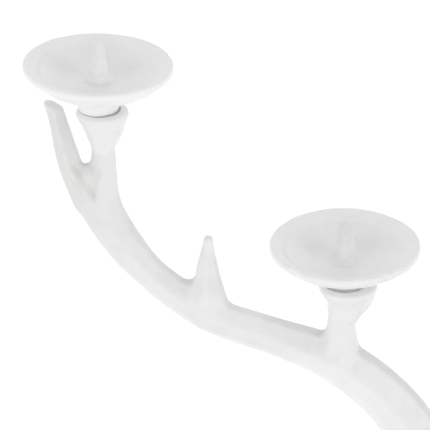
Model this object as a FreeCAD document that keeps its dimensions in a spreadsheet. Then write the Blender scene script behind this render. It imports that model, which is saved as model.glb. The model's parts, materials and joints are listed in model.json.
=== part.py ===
import FreeCAD, Part
import math
import os
from types import SimpleNamespace

import Sketcher
from FreeCAD import Placement, Rotation, Vector

# Antler chandelier for eight pillar candles, in millimetres and degrees.
# The ceiling is the plane z = 0 and everything hangs below it, with +Z up.
# Four cast antlers stand on a hub plate round a hollow column, and each carries an outer and an
# inner candle pan. Arm 1 points along -X and the others follow at equal turns about Z.

ARMS = 4
FIRST_ARM_TURN = 180
LINKS = 3
FIXING_HOLES = 3
HEX_SIDES = 6
FULL_TURN = 360
ROOT_OF_THREE = math.sqrt(3)
EDGE_REACH = 0.05

SIZES = [
    ("rose_diameter", 110, "ceiling rose across its flange"),
    ("rose_flange", 5, "thickness of the rose's flange"),
    ("rose_boss_diameter", 46, "boss where it leaves the flange"),
    ("rose_tip_diameter", 24, "boss at its lower end"),
    ("rose_boss_bend", 34, "radius of the boss's swelling side"),
    ("rose_height", 27, "ceiling to the boss's lower end"),
    ("rose_round", 2, "rounding of the flange's edge"),
    ("fixing_circle", 84, "circle of the ceiling screws"),
    ("fixing_hole", 5.5, "ceiling screw hole"),
    ("hook_wire", 6, "hook wire"),
    ("hook_radius", 12, "centre line radius of the hook's ring and neck"),
    ("hook_drop", 4, "straight shank below the rose"),
    ("hook_tip_angle", 155, "where the open ring ends, from the +X side"),
    ("hook_thread_end", 2, "thread that stands above the hook nut"),
    ("hook_nut_across", 10, "hook nut across its flats"),
    ("hook_nut_height", 5, "hook nut"),
    ("nut_room", 1.5, "room round a nut in its pocket"),
    ("link_wire", 5, "chain wire"),
    ("link_inner_width", 16, "inside width of a link"),
    ("link_inner_length", 56.5, "inside length of a link"),
    ("hang_gap", 0.3, "running gap where one wire hangs on another"),
    ("eye_wire", 6, "hanging eye wire"),
    ("eye_radius", 12, "centre line radius of the hanging eye"),
    ("eye_neck_diameter", 18, "foot of the hanging eye"),
    ("eye_neck_height", 22, "foot of the eye to the lowest point of its ring"),
    ("eye_skirt", 8, "straight part of the eye's foot"),
    ("rod_diameter", 8, "tie rod through the column"),
    ("rod_clearance", 0.3, "side clearance round the tie rod and the bolts"),
    ("rod_grip", 12, "tie rod thread in the eye and in the finial"),
    ("thread_clearance", 0.15, "side clearance in a threaded hole"),
    ("thread_bottom", 1, "room below the end of a thread"),
    ("cap_diameter", 28, "column cap at its widest"),
    ("cap_height", 16, "column cap"),
    ("cap_edge", 4, "straight edge of the cap"),
    ("tube_outer", 16, "column tube"),
    ("tube_wall", 3, "column tube wall"),
    ("tube_length", 250, "column tube between its collars"),
    ("tube_seat", 5, "depth of the tube in each collar"),
    ("seat_clearance", 0.15, "side clearance of the tube in its collars"),
    ("base_diameter", 40, "column base at its foot"),
    ("base_neck_diameter", 22, "column base at its top"),
    ("base_height", 24, "column base"),
    ("base_edge", 4, "straight edge of the column base"),
    ("base_bend", 22, "radius of the base's hollow side"),
    ("plate_thickness", 8, "hub plate"),
    ("plate_margin", 6, "hub plate outside the burrs"),
    ("plate_round", 2, "rounding of the hub plate's edge"),
    ("arm_reach", 288.25, "hub axis to the middle of each outer pan"),
    ("burr_circle", 55, "hub axis to the middle of each burr"),
    ("bolt_diameter", 8, "arm bolt"),
    ("bolt_head_across", 13, "arm bolt head across its flats"),
    ("bolt_head_height", 5.5, "arm bolt head"),
    ("bolt_reach", 24, "arm bolt inside the antler"),
    ("washer_diameter", 24, "hub washer"),
    ("washer_thickness", 2, "hub washer"),
    ("hub_nut_across", 13, "hub nut across its flats"),
    ("hub_nut_height", 6.5, "hub nut"),
    ("cover_depth", 36, "hub cover below the plate"),
    ("cover_wall", 3, "hub cover wall"),
    ("cover_margin", 16, "hub cover outside the bolts' centres"),
    ("cover_flat_diameter", 28, "flat at the bottom of the cover"),
    ("cover_bend", 66, "outside radius of the cover's bowl"),
    ("finial_ball", 22, "finial ball"),
    ("finial_neck_diameter", 12, "finial neck"),
    ("finial_neck_height", 21, "lowest point of the ball to the finial's flange"),
    ("finial_flange_diameter", 24, "finial flange"),
    ("finial_height", 27, "finial"),
    ("burr_foot_diameter", 43, "burr where it stands on the plate"),
    ("burr_diameter", 48, "burr at its widest"),
    ("root_diameter", 36.5, "beam above the burr"),
    ("shoulder_diameter", 30, "beam below the inner stem"),
    ("waist_diameter", 23.8, "beam below the middle tine"),
    ("elbow_diameter", 21.5, "beam below the fork"),
    ("fork_diameter", 23.6, "beam at the fork"),
    ("outer_neck_diameter", 15, "top of the outer stub"),
    ("root_angle", 86, "slope of the beam at the burr"),
    ("root_bend", 140, "radius of the beam's bend from the burr outward"),
    ("run_angle", 18.7, "slope of the beam's straight run"),
    ("rise_angle", 45.7, "slope where the beam tightens its bend upward"),
    ("rise_bend", 158.2, "radius of the beam's bend upward"),
    ("neck_angle", 88, "slope of the outer stub"),
    ("neck_bend", 92, "radius of the bend into the outer stub"),
    ("stub_length", 27.4, "straight outer stub"),
    ("inner_stem_slope", 29.8, "beam slope where the inner stem stands"),
    ("inner_stem_root", 25, "inner stem where it leaves the beam"),
    ("inner_stem_height", 38.4, "beam's centre line to the top of the inner stem"),
    ("inner_neck_diameter", 16.4, "top of the inner stem"),
    ("tine_slope", 25.7, "beam slope where the middle tine stands"),
    ("tine_root", 27.5, "middle tine where it leaves the beam"),
    ("tine_length", 57, "beam's centre line to the tip of the middle tine"),
    ("tine_tip", 6, "middle tine just below its tip"),
    ("tine_lean", 1.7, "outward lean of the middle tine"),
    ("tine_bow", 1.5, "outward bow of the middle tine half way up"),
    ("outer_tine_slope", 48, "beam slope where the outer tine leaves"),
    ("outer_tine_root", 20, "outer tine where it leaves the beam"),
    ("outer_tine_angle", 45.7, "slope of the outer tine at its root"),
    ("outer_tine_tip_angle", 81, "slope of the outer tine at its tip"),
    ("outer_tine_bend", 219, "radius of the outer tine's bend"),
    ("outer_tine_tip", 9.5, "outer tine at its blunt tip"),
    ("outer_tine_aside", 4, "sideways lean of the outer tine's tip"),
    ("web_set_out", 11.2, "web of the fork outside the middle of the outer stub"),
    ("web_drop", 14.3, "top of the outer stub down to the top of the web"),
    ("web_height", 18, "web of the fork"),
    ("web_root", 13, "web of the fork at its foot"),
    ("web_top", 7, "web of the fork at its top"),
    ("tip_round", 2.2, "rounding of the tines' tips"),
    ("outer_cup_diameter", 35.2, "outer cup at its lip"),
    ("outer_cup_belly", 25.5, "outer cup half way up"),
    ("outer_cup_height", 29.6, "outer cup"),
    ("outer_set_out", 2.6, "outer pan's axis outside the middle of its stub"),
    ("outer_lip_set_out", 0.2, "outer cup's lip outside the middle of its stub"),
    ("outer_belly_set_in", 0.9, "outer cup's belly inside the middle of its stub"),
    ("inner_cup_diameter", 39.4, "inner cup at its lip"),
    ("inner_cup_belly", 27, "inner cup half way up"),
    ("inner_cup_height", 23.5, "inner cup"),
    ("inner_set_in", 2.4, "inner pan's axis inside the middle of its stem"),
    ("inner_lip_set_in", 4.6, "inner cup's lip inside the middle of its stem"),
    ("inner_belly_set_in", 4.4, "inner cup's belly inside the middle of its stem"),
    ("cup_step", 0.8, "step from the stub out to the cup's foot"),
    ("cup_lip", 4.5, "height of the cup's lip below its flat top"),
    ("cup_lip_round", 2.2, "rounding of the lip's upper edge"),
    ("stud_diameter", 5, "stud between stub and cup"),
    ("stud_grip", 7, "stud inside the stub and inside the cup"),
    ("pan_diameter", 100, "candle pan"),
    ("pan_bowl_height", 21.5, "top of the pan's foot to its rim"),
    ("pan_depth", 11.5, "rim of the pan to its floor"),
    ("pan_rim", 2.6, "rim thickness"),
    ("pan_edge", 3.4, "upright outside of the rim"),
    ("pan_crease_diameter", 80, "crease where the pan's sloping rim band meets its dish"),
    ("pan_crease_drop", 2.9, "rim of the pan down to the crease"),
    ("pan_floor_diameter", 24, "flat floor of the pan"),
    ("pan_bowl_bend", 70, "radius of the dish"),
    ("pan_under_bend", 58, "radius of the pan's underside"),
    ("pan_foot_diameter", 27.5, "foot of the pan at its bottom"),
    ("pan_foot_top", 32, "foot of the pan where it meets the bowl"),
    ("outer_foot_height", 11, "foot of the outer pan"),
    ("inner_foot_height", 8, "foot of the inner pan"),
    ("pricket_height", 29.5, "floor of the pan to the tip of the spike"),
    ("pricket_base", 12.4, "spike at its base"),
    ("pricket_tip", 7, "spike below its rounded tip"),
    ("pricket_flange", 16, "flange that keeps the pan down"),
    ("flange_thickness", 1.4, "flange of the spike"),
    ("flange_gap", 0.35, "running gap under the flange"),
    ("shank_diameter", 6, "threaded shank of the spike"),
    ("shank_grip", 9, "shank inside the cup"),
    ("shank_clearance", 0.3, "side clearance of the pan on the shank"),
]


class Dim:
    """A size with its number and the sheet formula that gives it."""

    def __init__(self, number, formula):
        self.number = number
        self.formula = formula

    def __add__(self, other):
        other = dim(other)
        return Dim(self.number + other.number, f"({self.formula} + {other.formula})")

    def __sub__(self, other):
        other = dim(other)
        return Dim(self.number - other.number, f"({self.formula} - {other.formula})")

    def __mul__(self, other):
        other = dim(other)
        return Dim(self.number * other.number, f"{self.formula} * {other.formula}")

    def __truediv__(self, other):
        other = dim(other)
        return Dim(self.number / other.number, f"{self.formula} / {other.formula}")

    def __rsub__(self, other):
        return dim(other) - self

    def __neg__(self):
        return dim(0) - self

    __radd__ = __add__
    __rmul__ = __mul__


def dim(value):
    """Return a size as it is, and a plain number as a size."""
    if isinstance(value, Dim):
        return value
    return Dim(value, f"({float(value)!r})")


def sin(angle):
    return Dim(math.sin(math.radians(angle.number)), f"sin({angle.formula})")


def cos(angle):
    return Dim(math.cos(math.radians(angle.number)), f"cos({angle.formula})")


def tan(angle):
    return Dim(math.tan(math.radians(angle.number)), f"tan({angle.formula})")


def blend(first, last, share):
    """The size that lies the given share of the way from first to last."""
    return first + (last - first) * share


# Document and sheet of driving sizes

doc = FreeCAD.newDocument("AntlerChandelier")
sheet = doc.addObject("Spreadsheet::Sheet", "Sizes")
for row, (alias, number, note) in enumerate(SIZES, start=1):
    sheet.set(f"A{row}", note)
    sheet.set(f"B{row}", str(number))
    sheet.setAlias(f"B{row}", alias)
doc.recompute()
size = SimpleNamespace(**{alias: Dim(number, f"Sizes.{alias}") for alias, number, note in SIZES})

pieces = []


# Sketches and features

# What the sketcher calls its level and upright axes and the two ends of a line
SKETCHER = {"level": -1, "upright": -2, "start": 1, "end": 2}
ORIGIN = (SKETCHER["level"], SKETCHER["start"])
ENDS = (SKETCHER["start"], SKETCHER["end"])


def bind(item, path, value):
    item.setExpression(path, dim(value).formula)


def new_body(label):
    body = doc.addObject("PartDesign::Body", label)
    pieces.append(body)
    return body


def origin_feature(body, role):
    return next(item for item in body.Origin.OriginFeatures if item.Role == role)


def new_sketch(body, name, role):
    sketch = body.newObject("Sketcher::SketchObject", name)
    sketch.AttachmentSupport = (origin_feature(body, role), [""])
    sketch.MapMode = "FlatFace"
    return sketch


def pin_point(sketch, geometry, end, across, up):
    """Hold one end of a line or arc at its distances from the sketch's origin."""
    for kind, value, axis in (("DistanceX", across, "upright"), ("DistanceY", up, "level")):
        value = dim(value)
        if value.number == 0:
            sketch.addConstraint(Sketcher.Constraint("PointOnObject", geometry, end, SKETCHER[axis]))
        else:
            rule = Sketcher.Constraint(kind, *ORIGIN, geometry, end, value.number)
            bind(sketch, f"Constraints[{sketch.addConstraint(rule)}]", value)


def hold_radius(sketch, geometry, radius):
    rule = Sketcher.Constraint("Radius", geometry, dim(radius).number)
    bind(sketch, f"Constraints[{sketch.addConstraint(rule)}]", radius)


def add_arc(sketch, first, last, radius, side):
    """Add the short arc from first to last with its centre on the given side of the way."""
    way = last - first
    height = math.sqrt(max(radius.number ** 2 - way.Length ** 2 / 4, 0))
    left = Vector(-way.y, way.x, 0).normalize()
    centre = (first + last) / 2 + left * (height if side == "left" else -height)
    begin, finish = (first, last) if side == "left" else (last, first)
    begin_angle = math.atan2(begin.y - centre.y, begin.x - centre.x)
    finish_angle = math.atan2(finish.y - centre.y, finish.x - centre.x)
    if finish_angle < begin_angle:
        finish_angle += 2 * math.pi
    circle = Part.Circle(centre, Vector(0, 0, 1), radius.number)
    geometry = sketch.addGeometry(Part.ArcOfCircle(circle, begin_angle, finish_angle), False)
    hold_radius(sketch, geometry, radius)
    return (geometry, *(ENDS if side == "left" else reversed(ENDS)))


def draw(sketch, points, closed=True):
    """Draw an outline. A point may add the side and radius of an arc to the next point."""
    spots = [Vector(dim(point[0]).number, dim(point[1]).number, 0) for point in points]
    strokes = []
    count = len(points) if closed else len(points) - 1
    for index in range(count):
        first, last = spots[index], spots[(index + 1) % len(points)]
        if len(points[index]) == 2:
            line = sketch.addGeometry(Part.LineSegment(first, last), False)
            strokes.append((line, *ENDS))
        else:
            side, radius = points[index][2:]
            strokes.append(add_arc(sketch, first, last, dim(radius), side))
    for stroke, following in zip(strokes, strokes[1:] + strokes[:1] if closed else strokes[1:]):
        joint = Sketcher.Constraint("Coincident", stroke[0], stroke[2], following[0], following[1])
        sketch.addConstraint(joint)
    for stroke, point in zip(strokes, points):
        pin_point(sketch, stroke[0], stroke[1], point[0], point[1])
    if not closed:
        pin_point(sketch, strokes[-1][0], strokes[-1][2], points[-1][0], points[-1][1])


def turn_outline(body, points):
    """Turn an outline of (radius, height) points about the body's own upright axis."""
    sketch = new_sketch(body, body.Label + "_outline", "XZ_Plane")
    draw(sketch, points)
    turning = body.newObject("PartDesign::Revolution", body.Label + "_turning")
    turning.Profile = sketch
    turning.ReferenceAxis = (sketch, ["V_Axis"])
    turning.Angle = FULL_TURN


def turned(label, points):
    body = new_body(label)
    turn_outline(body, points)
    return body


def upright(body, kind, name, radius, height, x=0, z=0):
    """Add or cut an upright cylinder or six-sided bar that stands at x and z."""
    feature = body.newObject("PartDesign::" + kind, name)
    if kind.endswith("Prism"):
        feature.Polygon = HEX_SIDES
        bind(feature, "Circumradius", radius)
    else:
        bind(feature, "Radius", radius)
    bind(feature, "Height", height)
    place(feature, x, 0, z)
    return feature


def repeat_round(body, features, count):
    """Repeat features at equal turns about the body's own upright axis."""
    pattern = body.newObject("PartDesign::PolarPattern", features[0].Name + "_round")
    pattern.Originals = features
    pattern.Axis = (origin_feature(body, "Z_Axis"), [""])
    pattern.Angle = FULL_TURN
    pattern.Occurrences = count
    body.Tip = pattern


def place(item, x=0, y=0, z=0, turn=0):
    spot = [dim(x), dim(y), dim(z)]
    base = Vector(*(value.number for value in spot))
    item.Placement = Placement(base, Rotation(Vector(0, 0, 1), turn))
    for letter, value in zip("xyz", spot):
        bind(item, f"Placement.Base.{letter}", value)


def copy_of(body, label):
    link = doc.addObject("App::Link", label)
    link.LinkedObject = body
    link.Label = label
    pieces.append(link)
    return link


def stand_round_hub(body, name, x, z):
    """Stand a piece at radius x on every arm, the first one as modelled and the rest as copies."""
    for arm in range(ARMS):
        label = f"{name}_{arm + 1}"
        item = copy_of(body, label) if arm else body
        item.Label = label
        turn = FIRST_ARM_TURN + arm * FULL_TURN / ARMS
        along = round(math.cos(math.radians(turn)), 9)
        aside = round(math.sin(math.radians(turn)), 9)
        place(item, x * along, x * aside, z, turn)


def hex_radius(across):
    """Corner radius of a hexagon from its width across the flats."""
    return across / ROOT_OF_THREE


# Levels below the ceiling, worked out from the top down

nut_pocket = size.hook_nut_height + size.hook_thread_end + size.thread_bottom
hook_bend_height = size.hook_radius * ROOT_OF_THREE
hook_z = -(size.rose_height + size.hook_drop + hook_bend_height)
link_length = size.link_inner_length + size.link_wire
first_link_top = hook_z - size.hook_radius + size.hook_wire / 2 + size.hang_gap + size.link_wire / 2
link_step = size.link_inner_length - size.hang_gap
link_z = [first_link_top - link_length / 2 - link_step * index for index in range(LINKS)]
last_wire_z = link_z[-1] - link_length / 2
eye_z = last_wire_z + size.link_wire / 2 + size.hang_gap + size.eye_wire / 2 - size.eye_radius
eye_foot_z = eye_z - size.eye_radius - size.eye_neck_height
cap_z = eye_foot_z - size.cap_height
base_top_z = cap_z - size.tube_length
plate_z = base_top_z - size.base_height
plate_under_z = plate_z - size.plate_thickness
washer_z = plate_under_z - size.washer_thickness
hub_nut_z = washer_z - size.hub_nut_height
cover_z = plate_under_z - size.cover_depth
finial_z = cover_z - size.finial_height

rod_hole = size.rod_diameter / 2 + size.rod_clearance
rod_thread_hole = size.rod_diameter / 2 + size.thread_clearance
thread_depth = size.rod_grip + size.thread_bottom
bolt_hole = size.bolt_diameter / 2 + size.rod_clearance
tube_hole = size.tube_outer / 2 + size.seat_clearance
stud_hole = size.stud_diameter / 2 + size.thread_clearance
stud_depth = size.stud_grip + size.thread_bottom


# Ceiling rose, hook and nut

def make_rose():
    radius = size.rose_diameter / 2
    under = size.rose_height - size.rose_flange
    hole = size.hook_wire / 2 + size.rod_clearance
    pocket = hex_radius(size.hook_nut_across) + size.nut_room
    pocket_floor = size.rose_height - nut_pocket
    rose = turned("ceiling_rose", [
        (hole, 0),
        (size.rose_tip_diameter / 2, 0, "left", size.rose_boss_bend),
        (size.rose_boss_diameter / 2, under),
        (radius - size.rose_round, under, "left", size.rose_round),
        (radius, under + size.rose_round),
        (radius, size.rose_height),
        (pocket, size.rose_height),
        (pocket, pocket_floor),
        (hole, pocket_floor),
    ])
    fixing = upright(rose, "SubtractiveCylinder", "fixing_hole", size.fixing_hole / 2,
                     size.rose_flange, size.fixing_circle / 2, under)
    repeat_round(rose, [fixing], FIXING_HOLES)
    place(rose, z=-size.rose_height)


def make_hook():
    """An open ring on a swan neck, bent from one wire and threaded into the rose."""
    hook = new_body("ceiling_hook")
    top = hook_bend_height + size.hook_drop + size.rose_height
    top = top - nut_pocket + size.hook_nut_height + size.hook_thread_end
    spine = new_sketch(hook, "hook_path", "XZ_Plane")
    ring = size.hook_radius
    draw(spine, [
        (0, top),
        (0, hook_bend_height, "left", ring),
        (ring / 2, hook_bend_height / 2, "right", ring),
        (0, -ring, "right", ring),
        (ring * cos(size.hook_tip_angle), ring * sin(size.hook_tip_angle)),
    ], closed=False)
    section = new_sketch(hook, "hook_section", "XY_Plane")
    section.AttachmentOffset = Placement(Vector(0, 0, top.number), Rotation())
    bind(section, "AttachmentOffset.Base.z", top)
    draw_circle(section, 0, size.hook_wire)
    sweep(hook, "hook_wire", section, spine)
    place(hook, z=hook_z)


def draw_circle(sketch, x, diameter):
    x = dim(x)
    circle = Part.Circle(Vector(x.number, 0, 0), Vector(0, 0, 1), diameter.number / 2)
    geometry = sketch.addGeometry(circle, False)
    pin_point(sketch, geometry, 3, x, 0)
    hold_radius(sketch, geometry, diameter / 2)


def sweep(body, name, section, spine):
    pipe = body.newObject("PartDesign::AdditivePipe", name)
    pipe.Profile = section
    pipe.Spine = spine


def make_nut(label, across, height, hole, z):
    nut = new_body(label)
    upright(nut, "AdditivePrism", label + "_hexagon", hex_radius(across), height)
    upright(nut, "SubtractiveCylinder", label + "_hole", hole, height)
    place(nut, z=z)


# Chain

def make_chain():
    """Round links in planes that alternate, each hanging on the wire above it."""
    first = new_body("chain_link_1")
    bend = (size.link_inner_width + size.link_wire) / 2
    half = (size.link_inner_length - size.link_inner_width) / 2
    spine = new_sketch(first, "link_path", "XZ_Plane")
    draw(spine, [
        (bend, -half),
        (bend, half, "left", bend),
        (0, half + bend, "left", bend),
        (-bend, half),
        (-bend, -half, "left", bend),
        (0, -half - bend, "left", bend),
    ])
    section = new_sketch(first, "link_section", "XY_Plane")
    draw_circle(section, bend, size.link_wire)
    sweep(first, "link_wire", section, spine)
    for index in range(LINKS):
        link = copy_of(first, f"chain_link_{index + 1}") if index else first
        place(link, z=link_z[index], turn=0 if index % 2 else 90)


# Column

def make_eye():
    eye = new_body("hanging_eye")
    ring = eye.newObject("PartDesign::AdditiveTorus", "eye_ring")
    bind(ring, "Radius1", size.eye_radius)
    bind(ring, "Radius2", size.eye_wire / 2)
    ring_height = size.eye_neck_height + size.eye_radius
    on_edge = Rotation(Vector(1, 0, 0), 90)
    ring.Placement = Placement(Vector(0, 0, ring_height.number), on_edge)
    bind(ring, "Placement.Base.z", ring_height)
    turn_outline(eye, [
        (rod_thread_hole, 0),
        (size.eye_neck_diameter / 2, 0),
        (size.eye_neck_diameter / 2, size.eye_skirt),
        (size.eye_wire / 2, size.eye_neck_height),
        (0, size.eye_neck_height),
        (0, thread_depth),
        (rod_thread_hole, thread_depth),
    ])
    place(eye, z=eye_foot_z)


def make_column():
    cap_top = size.eye_neck_diameter / 2
    cap = turned("column_cap", [
        (tube_hole, 0),
        (size.cap_diameter / 2, 0),
        (size.cap_diameter / 2, size.cap_edge),
        (cap_top, size.cap_height),
        (rod_hole, size.cap_height),
        (rod_hole, size.tube_seat),
        (tube_hole, size.tube_seat),
    ])
    place(cap, z=cap_z)
    tube_top = size.tube_length + size.tube_seat * 2
    tube_inside = size.tube_outer / 2 - size.tube_wall
    tube = turned("column_tube", [
        (tube_inside, 0),
        (size.tube_outer / 2, 0),
        (size.tube_outer / 2, tube_top),
        (tube_inside, tube_top),
    ])
    place(tube, z=base_top_z - size.tube_seat)
    base_floor = size.base_height - size.tube_seat
    base = turned("column_base", [
        (rod_hole, 0),
        (size.base_diameter / 2, 0),
        (size.base_diameter / 2, size.base_edge, "right", size.base_bend),
        (size.base_neck_diameter / 2, size.base_height),
        (tube_hole, size.base_height),
        (tube_hole, base_floor),
        (rod_hole, base_floor),
    ])
    place(base, z=plate_z)
    rod = doc.addObject("Part::Cylinder", "tie_rod")
    bind(rod, "Radius", size.rod_diameter / 2)
    rod_foot = cover_z - size.rod_grip
    bind(rod, "Height", eye_foot_z + size.rod_grip - rod_foot)
    place(rod, z=rod_foot)
    pieces.append(rod)


# Hub

def make_hub():
    plate_radius = size.burr_circle + size.burr_diameter / 2 + size.plate_margin
    plate = turned("hub_plate", [
        (rod_hole, 0),
        (plate_radius - size.plate_round, 0, "left", size.plate_round),
        (plate_radius, size.plate_round),
        (plate_radius, size.plate_thickness - size.plate_round, "left", size.plate_round),
        (plate_radius - size.plate_round, size.plate_thickness),
        (rod_hole, size.plate_thickness),
    ])
    hole = upright(plate, "SubtractiveCylinder", "arm_bolt_hole", bolt_hole,
                   size.plate_thickness, size.burr_circle)
    repeat_round(plate, [hole], ARMS)
    place(plate, z=plate_under_z)

    washer = turned("hub_washer", [
        (rod_hole, 0),
        (size.washer_diameter / 2, 0),
        (size.washer_diameter / 2, size.washer_thickness),
        (rod_hole, size.washer_thickness),
    ])
    place(washer, z=washer_z)
    make_nut("hub_nut", size.hub_nut_across, size.hub_nut_height, rod_thread_hole, hub_nut_z)

    bolts = new_body("arm_bolts")
    bolts.AllowCompound = True
    head = upright(bolts, "AdditivePrism", "bolt_head", hex_radius(size.bolt_head_across),
                   size.bolt_head_height, size.burr_circle)
    shank = upright(bolts, "AdditiveCylinder", "bolt_shank", size.bolt_diameter / 2,
                    size.bolt_head_height + size.plate_thickness + size.bolt_reach,
                    size.burr_circle)
    repeat_round(bolts, [head, shank], ARMS)
    place(bolts, z=plate_under_z - size.bolt_head_height)

    rim = size.burr_circle + size.cover_margin
    flat = size.cover_flat_diameter / 2
    cover = turned("hub_cover", [
        (rod_hole, 0),
        (flat, 0, "left", size.cover_bend),
        (rim, size.cover_depth),
        (rim - size.cover_wall, size.cover_depth, "right", size.cover_bend - size.cover_wall),
        (flat, size.cover_wall),
        (rod_hole, size.cover_wall),
    ])
    place(cover, z=cover_z)

    finial_thread = size.finial_height - thread_depth
    finial = turned("finial", [
        (0, 0, "left", size.finial_ball / 2),
        (size.finial_ball / 2, size.finial_ball / 2, "left", size.finial_ball / 2),
        (size.finial_neck_diameter / 2, size.finial_neck_height),
        (size.finial_flange_diameter / 2, size.finial_neck_height),
        (size.finial_flange_diameter / 2, size.finial_height),
        (rod_thread_hole, size.finial_height),
        (rod_thread_hole, finial_thread),
        (0, finial_thread),
    ])
    place(finial, z=finial_z)


# Antler

def on_bend(start, bend, first_angle, angle):
    """Place on an arc that leaves start at first_angle, where its slope has become angle."""
    x, z = start
    return x + bend * (sin(angle) - sin(first_angle)), z + bend * (cos(first_angle) - cos(angle))


# The beam's centre line in its upright plane: x outward from the hub's axis, z above the plate.
# A negative radius bends the beam down towards its straight run, a positive one bends it up.
root_bend = -size.root_bend
burr_spot = (size.burr_circle, dim(0))
run_spot = on_bend(burr_spot, root_bend, size.root_angle, size.run_angle)
# The straight run takes up what the bends leave of the arm's reach.
bends_reach = (size.root_bend * (sin(size.root_angle) - sin(size.run_angle))
               + size.rise_bend * (sin(size.rise_angle) - sin(size.run_angle))
               + size.neck_bend * (sin(size.neck_angle) - sin(size.rise_angle))
               + size.stub_length * cos(size.neck_angle))
run_reach = size.arm_reach - size.outer_set_out - size.burr_circle - bends_reach
rise_spot = (run_spot[0] + run_reach, run_spot[1] + run_reach * tan(size.run_angle))
neck_spot = on_bend(rise_spot, size.rise_bend, size.run_angle, size.rise_angle)
stub_foot = on_bend(neck_spot, size.neck_bend, size.rise_angle, size.neck_angle)
stub_spot = (stub_foot[0] + size.stub_length * cos(size.neck_angle),
             stub_foot[1] + size.stub_length * sin(size.neck_angle))
stem_foot = on_bend(burr_spot, root_bend, size.root_angle, size.inner_stem_slope)
tine_foot = on_bend(rise_spot, size.rise_bend, size.run_angle, size.tine_slope)
outer_tine_foot = on_bend(neck_spot, size.neck_bend, size.rise_angle, size.outer_tine_slope)
stem_spot = (stem_foot[0], stem_foot[1] + size.inner_stem_height)

inner_axis = stem_spot[0] - size.inner_set_in


def add_section(body, name, x, z, diameter, tilt=None, aside=0):
    """A round section at x and z, level unless it has a tilt about the arm's cross axis."""
    section = body.newObject("Sketcher::SketchObject", name)
    draw_circle(section, 0, diameter)
    place(section, x, aside, z)
    if tilt is not None:
        section.Placement = Placement(section.Placement.Base, Rotation(Vector(0, 1, 0), tilt.number))
        bind(section, "Placement.Rotation.Angle", tilt)
    return section


def skin(body, name, sections):
    loft = body.newObject("PartDesign::AdditiveLoft", name)
    loft.Profile = sections[0]
    loft.Sections = sections[1:]
    return loft


def beam_stations():
    """Stations of the beam: place, slope, diameter and the share of the slope that tilts it."""
    root, shoulder, waist = size.root_diameter, size.shoulder_diameter, size.waist_diameter
    elbow, fork, neck = size.elbow_diameter, size.fork_diameter, size.outer_neck_diameter
    for share, diameter, tilt_share in (
        (0.03, size.burr_diameter, 0.3),
        (0.06, size.burr_foot_diameter, 0.6),
        (0.11, root, 1),
        (0.3, root, 1),
        (0.55, blend(root, shoulder, 0.55), 1),
        (0.82, shoulder, 1),
        (1, blend(shoulder, waist, 0.45), 1),
    ):
        angle = blend(size.root_angle, size.run_angle, share)
        yield on_bend(burr_spot, root_bend, size.root_angle, angle), angle, diameter, tilt_share
    for share, diameter in ((0.5, blend(shoulder, waist, 0.8)), (1, waist)):
        spot = (blend(run_spot[0], rise_spot[0], share), blend(run_spot[1], rise_spot[1], share))
        yield spot, size.run_angle, diameter, 1
    for share, diameter in ((0.5, blend(waist, elbow, 0.4)), (1, elbow)):
        angle = blend(size.run_angle, size.rise_angle, share)
        yield on_bend(rise_spot, size.rise_bend, size.run_angle, angle), angle, diameter, 1
    for share, diameter in (
        (0.25, fork),
        (0.5, blend(fork, neck, 0.3)),
        (0.75, blend(fork, neck, 0.6)),
        (1, blend(fork, neck, 0.85)),
    ):
        angle = blend(size.rise_angle, size.neck_angle, share)
        yield on_bend(neck_spot, size.neck_bend, size.rise_angle, angle), angle, diameter, 1
    half_way = (blend(stub_foot[0], stub_spot[0], 0.5), blend(stub_foot[1], stub_spot[1], 0.5))
    yield half_way, size.neck_angle, blend(fork, neck, 0.95), 1


def add_beam(antler):
    sections = [add_section(antler, "burr_foot", *burr_spot, size.burr_foot_diameter)]
    for number, (spot, angle, diameter, tilt_share) in enumerate(beam_stations()):
        tilt = (90 - angle) * tilt_share
        sections.append(add_section(antler, f"beam_section_{number}", *spot, diameter, tilt))
    sections.append(add_section(antler, "stub_top", *stub_spot, size.outer_neck_diameter))
    skin(antler, "beam", sections)


def add_inner_stem(antler):
    x, foot = stem_foot
    root, neck = size.inner_stem_root, size.inner_neck_diameter
    sections = []
    for share, flare in ((0, 0), (0.34, 0.05), (0.5, 0.55), (0.68, 0.9), (0.85, 1), (1, 1)):
        name = f"inner_stem_section_{len(sections)}"
        z = foot + size.inner_stem_height * share
        sections.append(add_section(antler, name, x, z, blend(root, neck, flare)))
    skin(antler, "inner_stem", sections)


def add_middle_tine(antler):
    x, foot = tine_foot
    sections = []
    for share, taper in ((0, 0.4), (0.16, 0.04), (0.34, 0.42), (0.55, 0.6), (0.78, 0.78), (1, 1)):
        name = f"middle_tine_section_{len(sections)}"
        rise = size.tine_length * share
        diameter = blend(size.tine_root, size.tine_tip, taper)
        bow = size.tine_bow * (4 * share * (1 - share))
        spot = x + rise * tan(size.tine_lean) + bow
        sections.append(add_section(antler, name, spot, foot + rise, diameter))
    tine = skin(antler, "middle_tine", sections)
    round_edge(antler, tine, sections[-1].Placement.Base, size.tip_round)


def add_outer_tine(antler):
    sections = []
    for share, taper in ((0, 0), (0.33, 0), (0.5, 0.16), (0.63, 0.42), (0.8, 0.72), (1, 1)):
        name = f"outer_tine_section_{len(sections)}"
        angle = blend(size.outer_tine_angle, size.outer_tine_tip_angle, share)
        spot = on_bend(outer_tine_foot, size.outer_tine_bend, size.outer_tine_angle, angle)
        diameter = blend(size.outer_tine_root, size.outer_tine_tip, taper)
        aside = -size.outer_tine_aside * share ** 2
        sections.append(add_section(antler, name, *spot, diameter, 90 - angle, aside))
    tine = skin(antler, "outer_tine", sections)
    round_edge(antler, tine, sections[-1].Placement.Base, size.tip_round)


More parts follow.
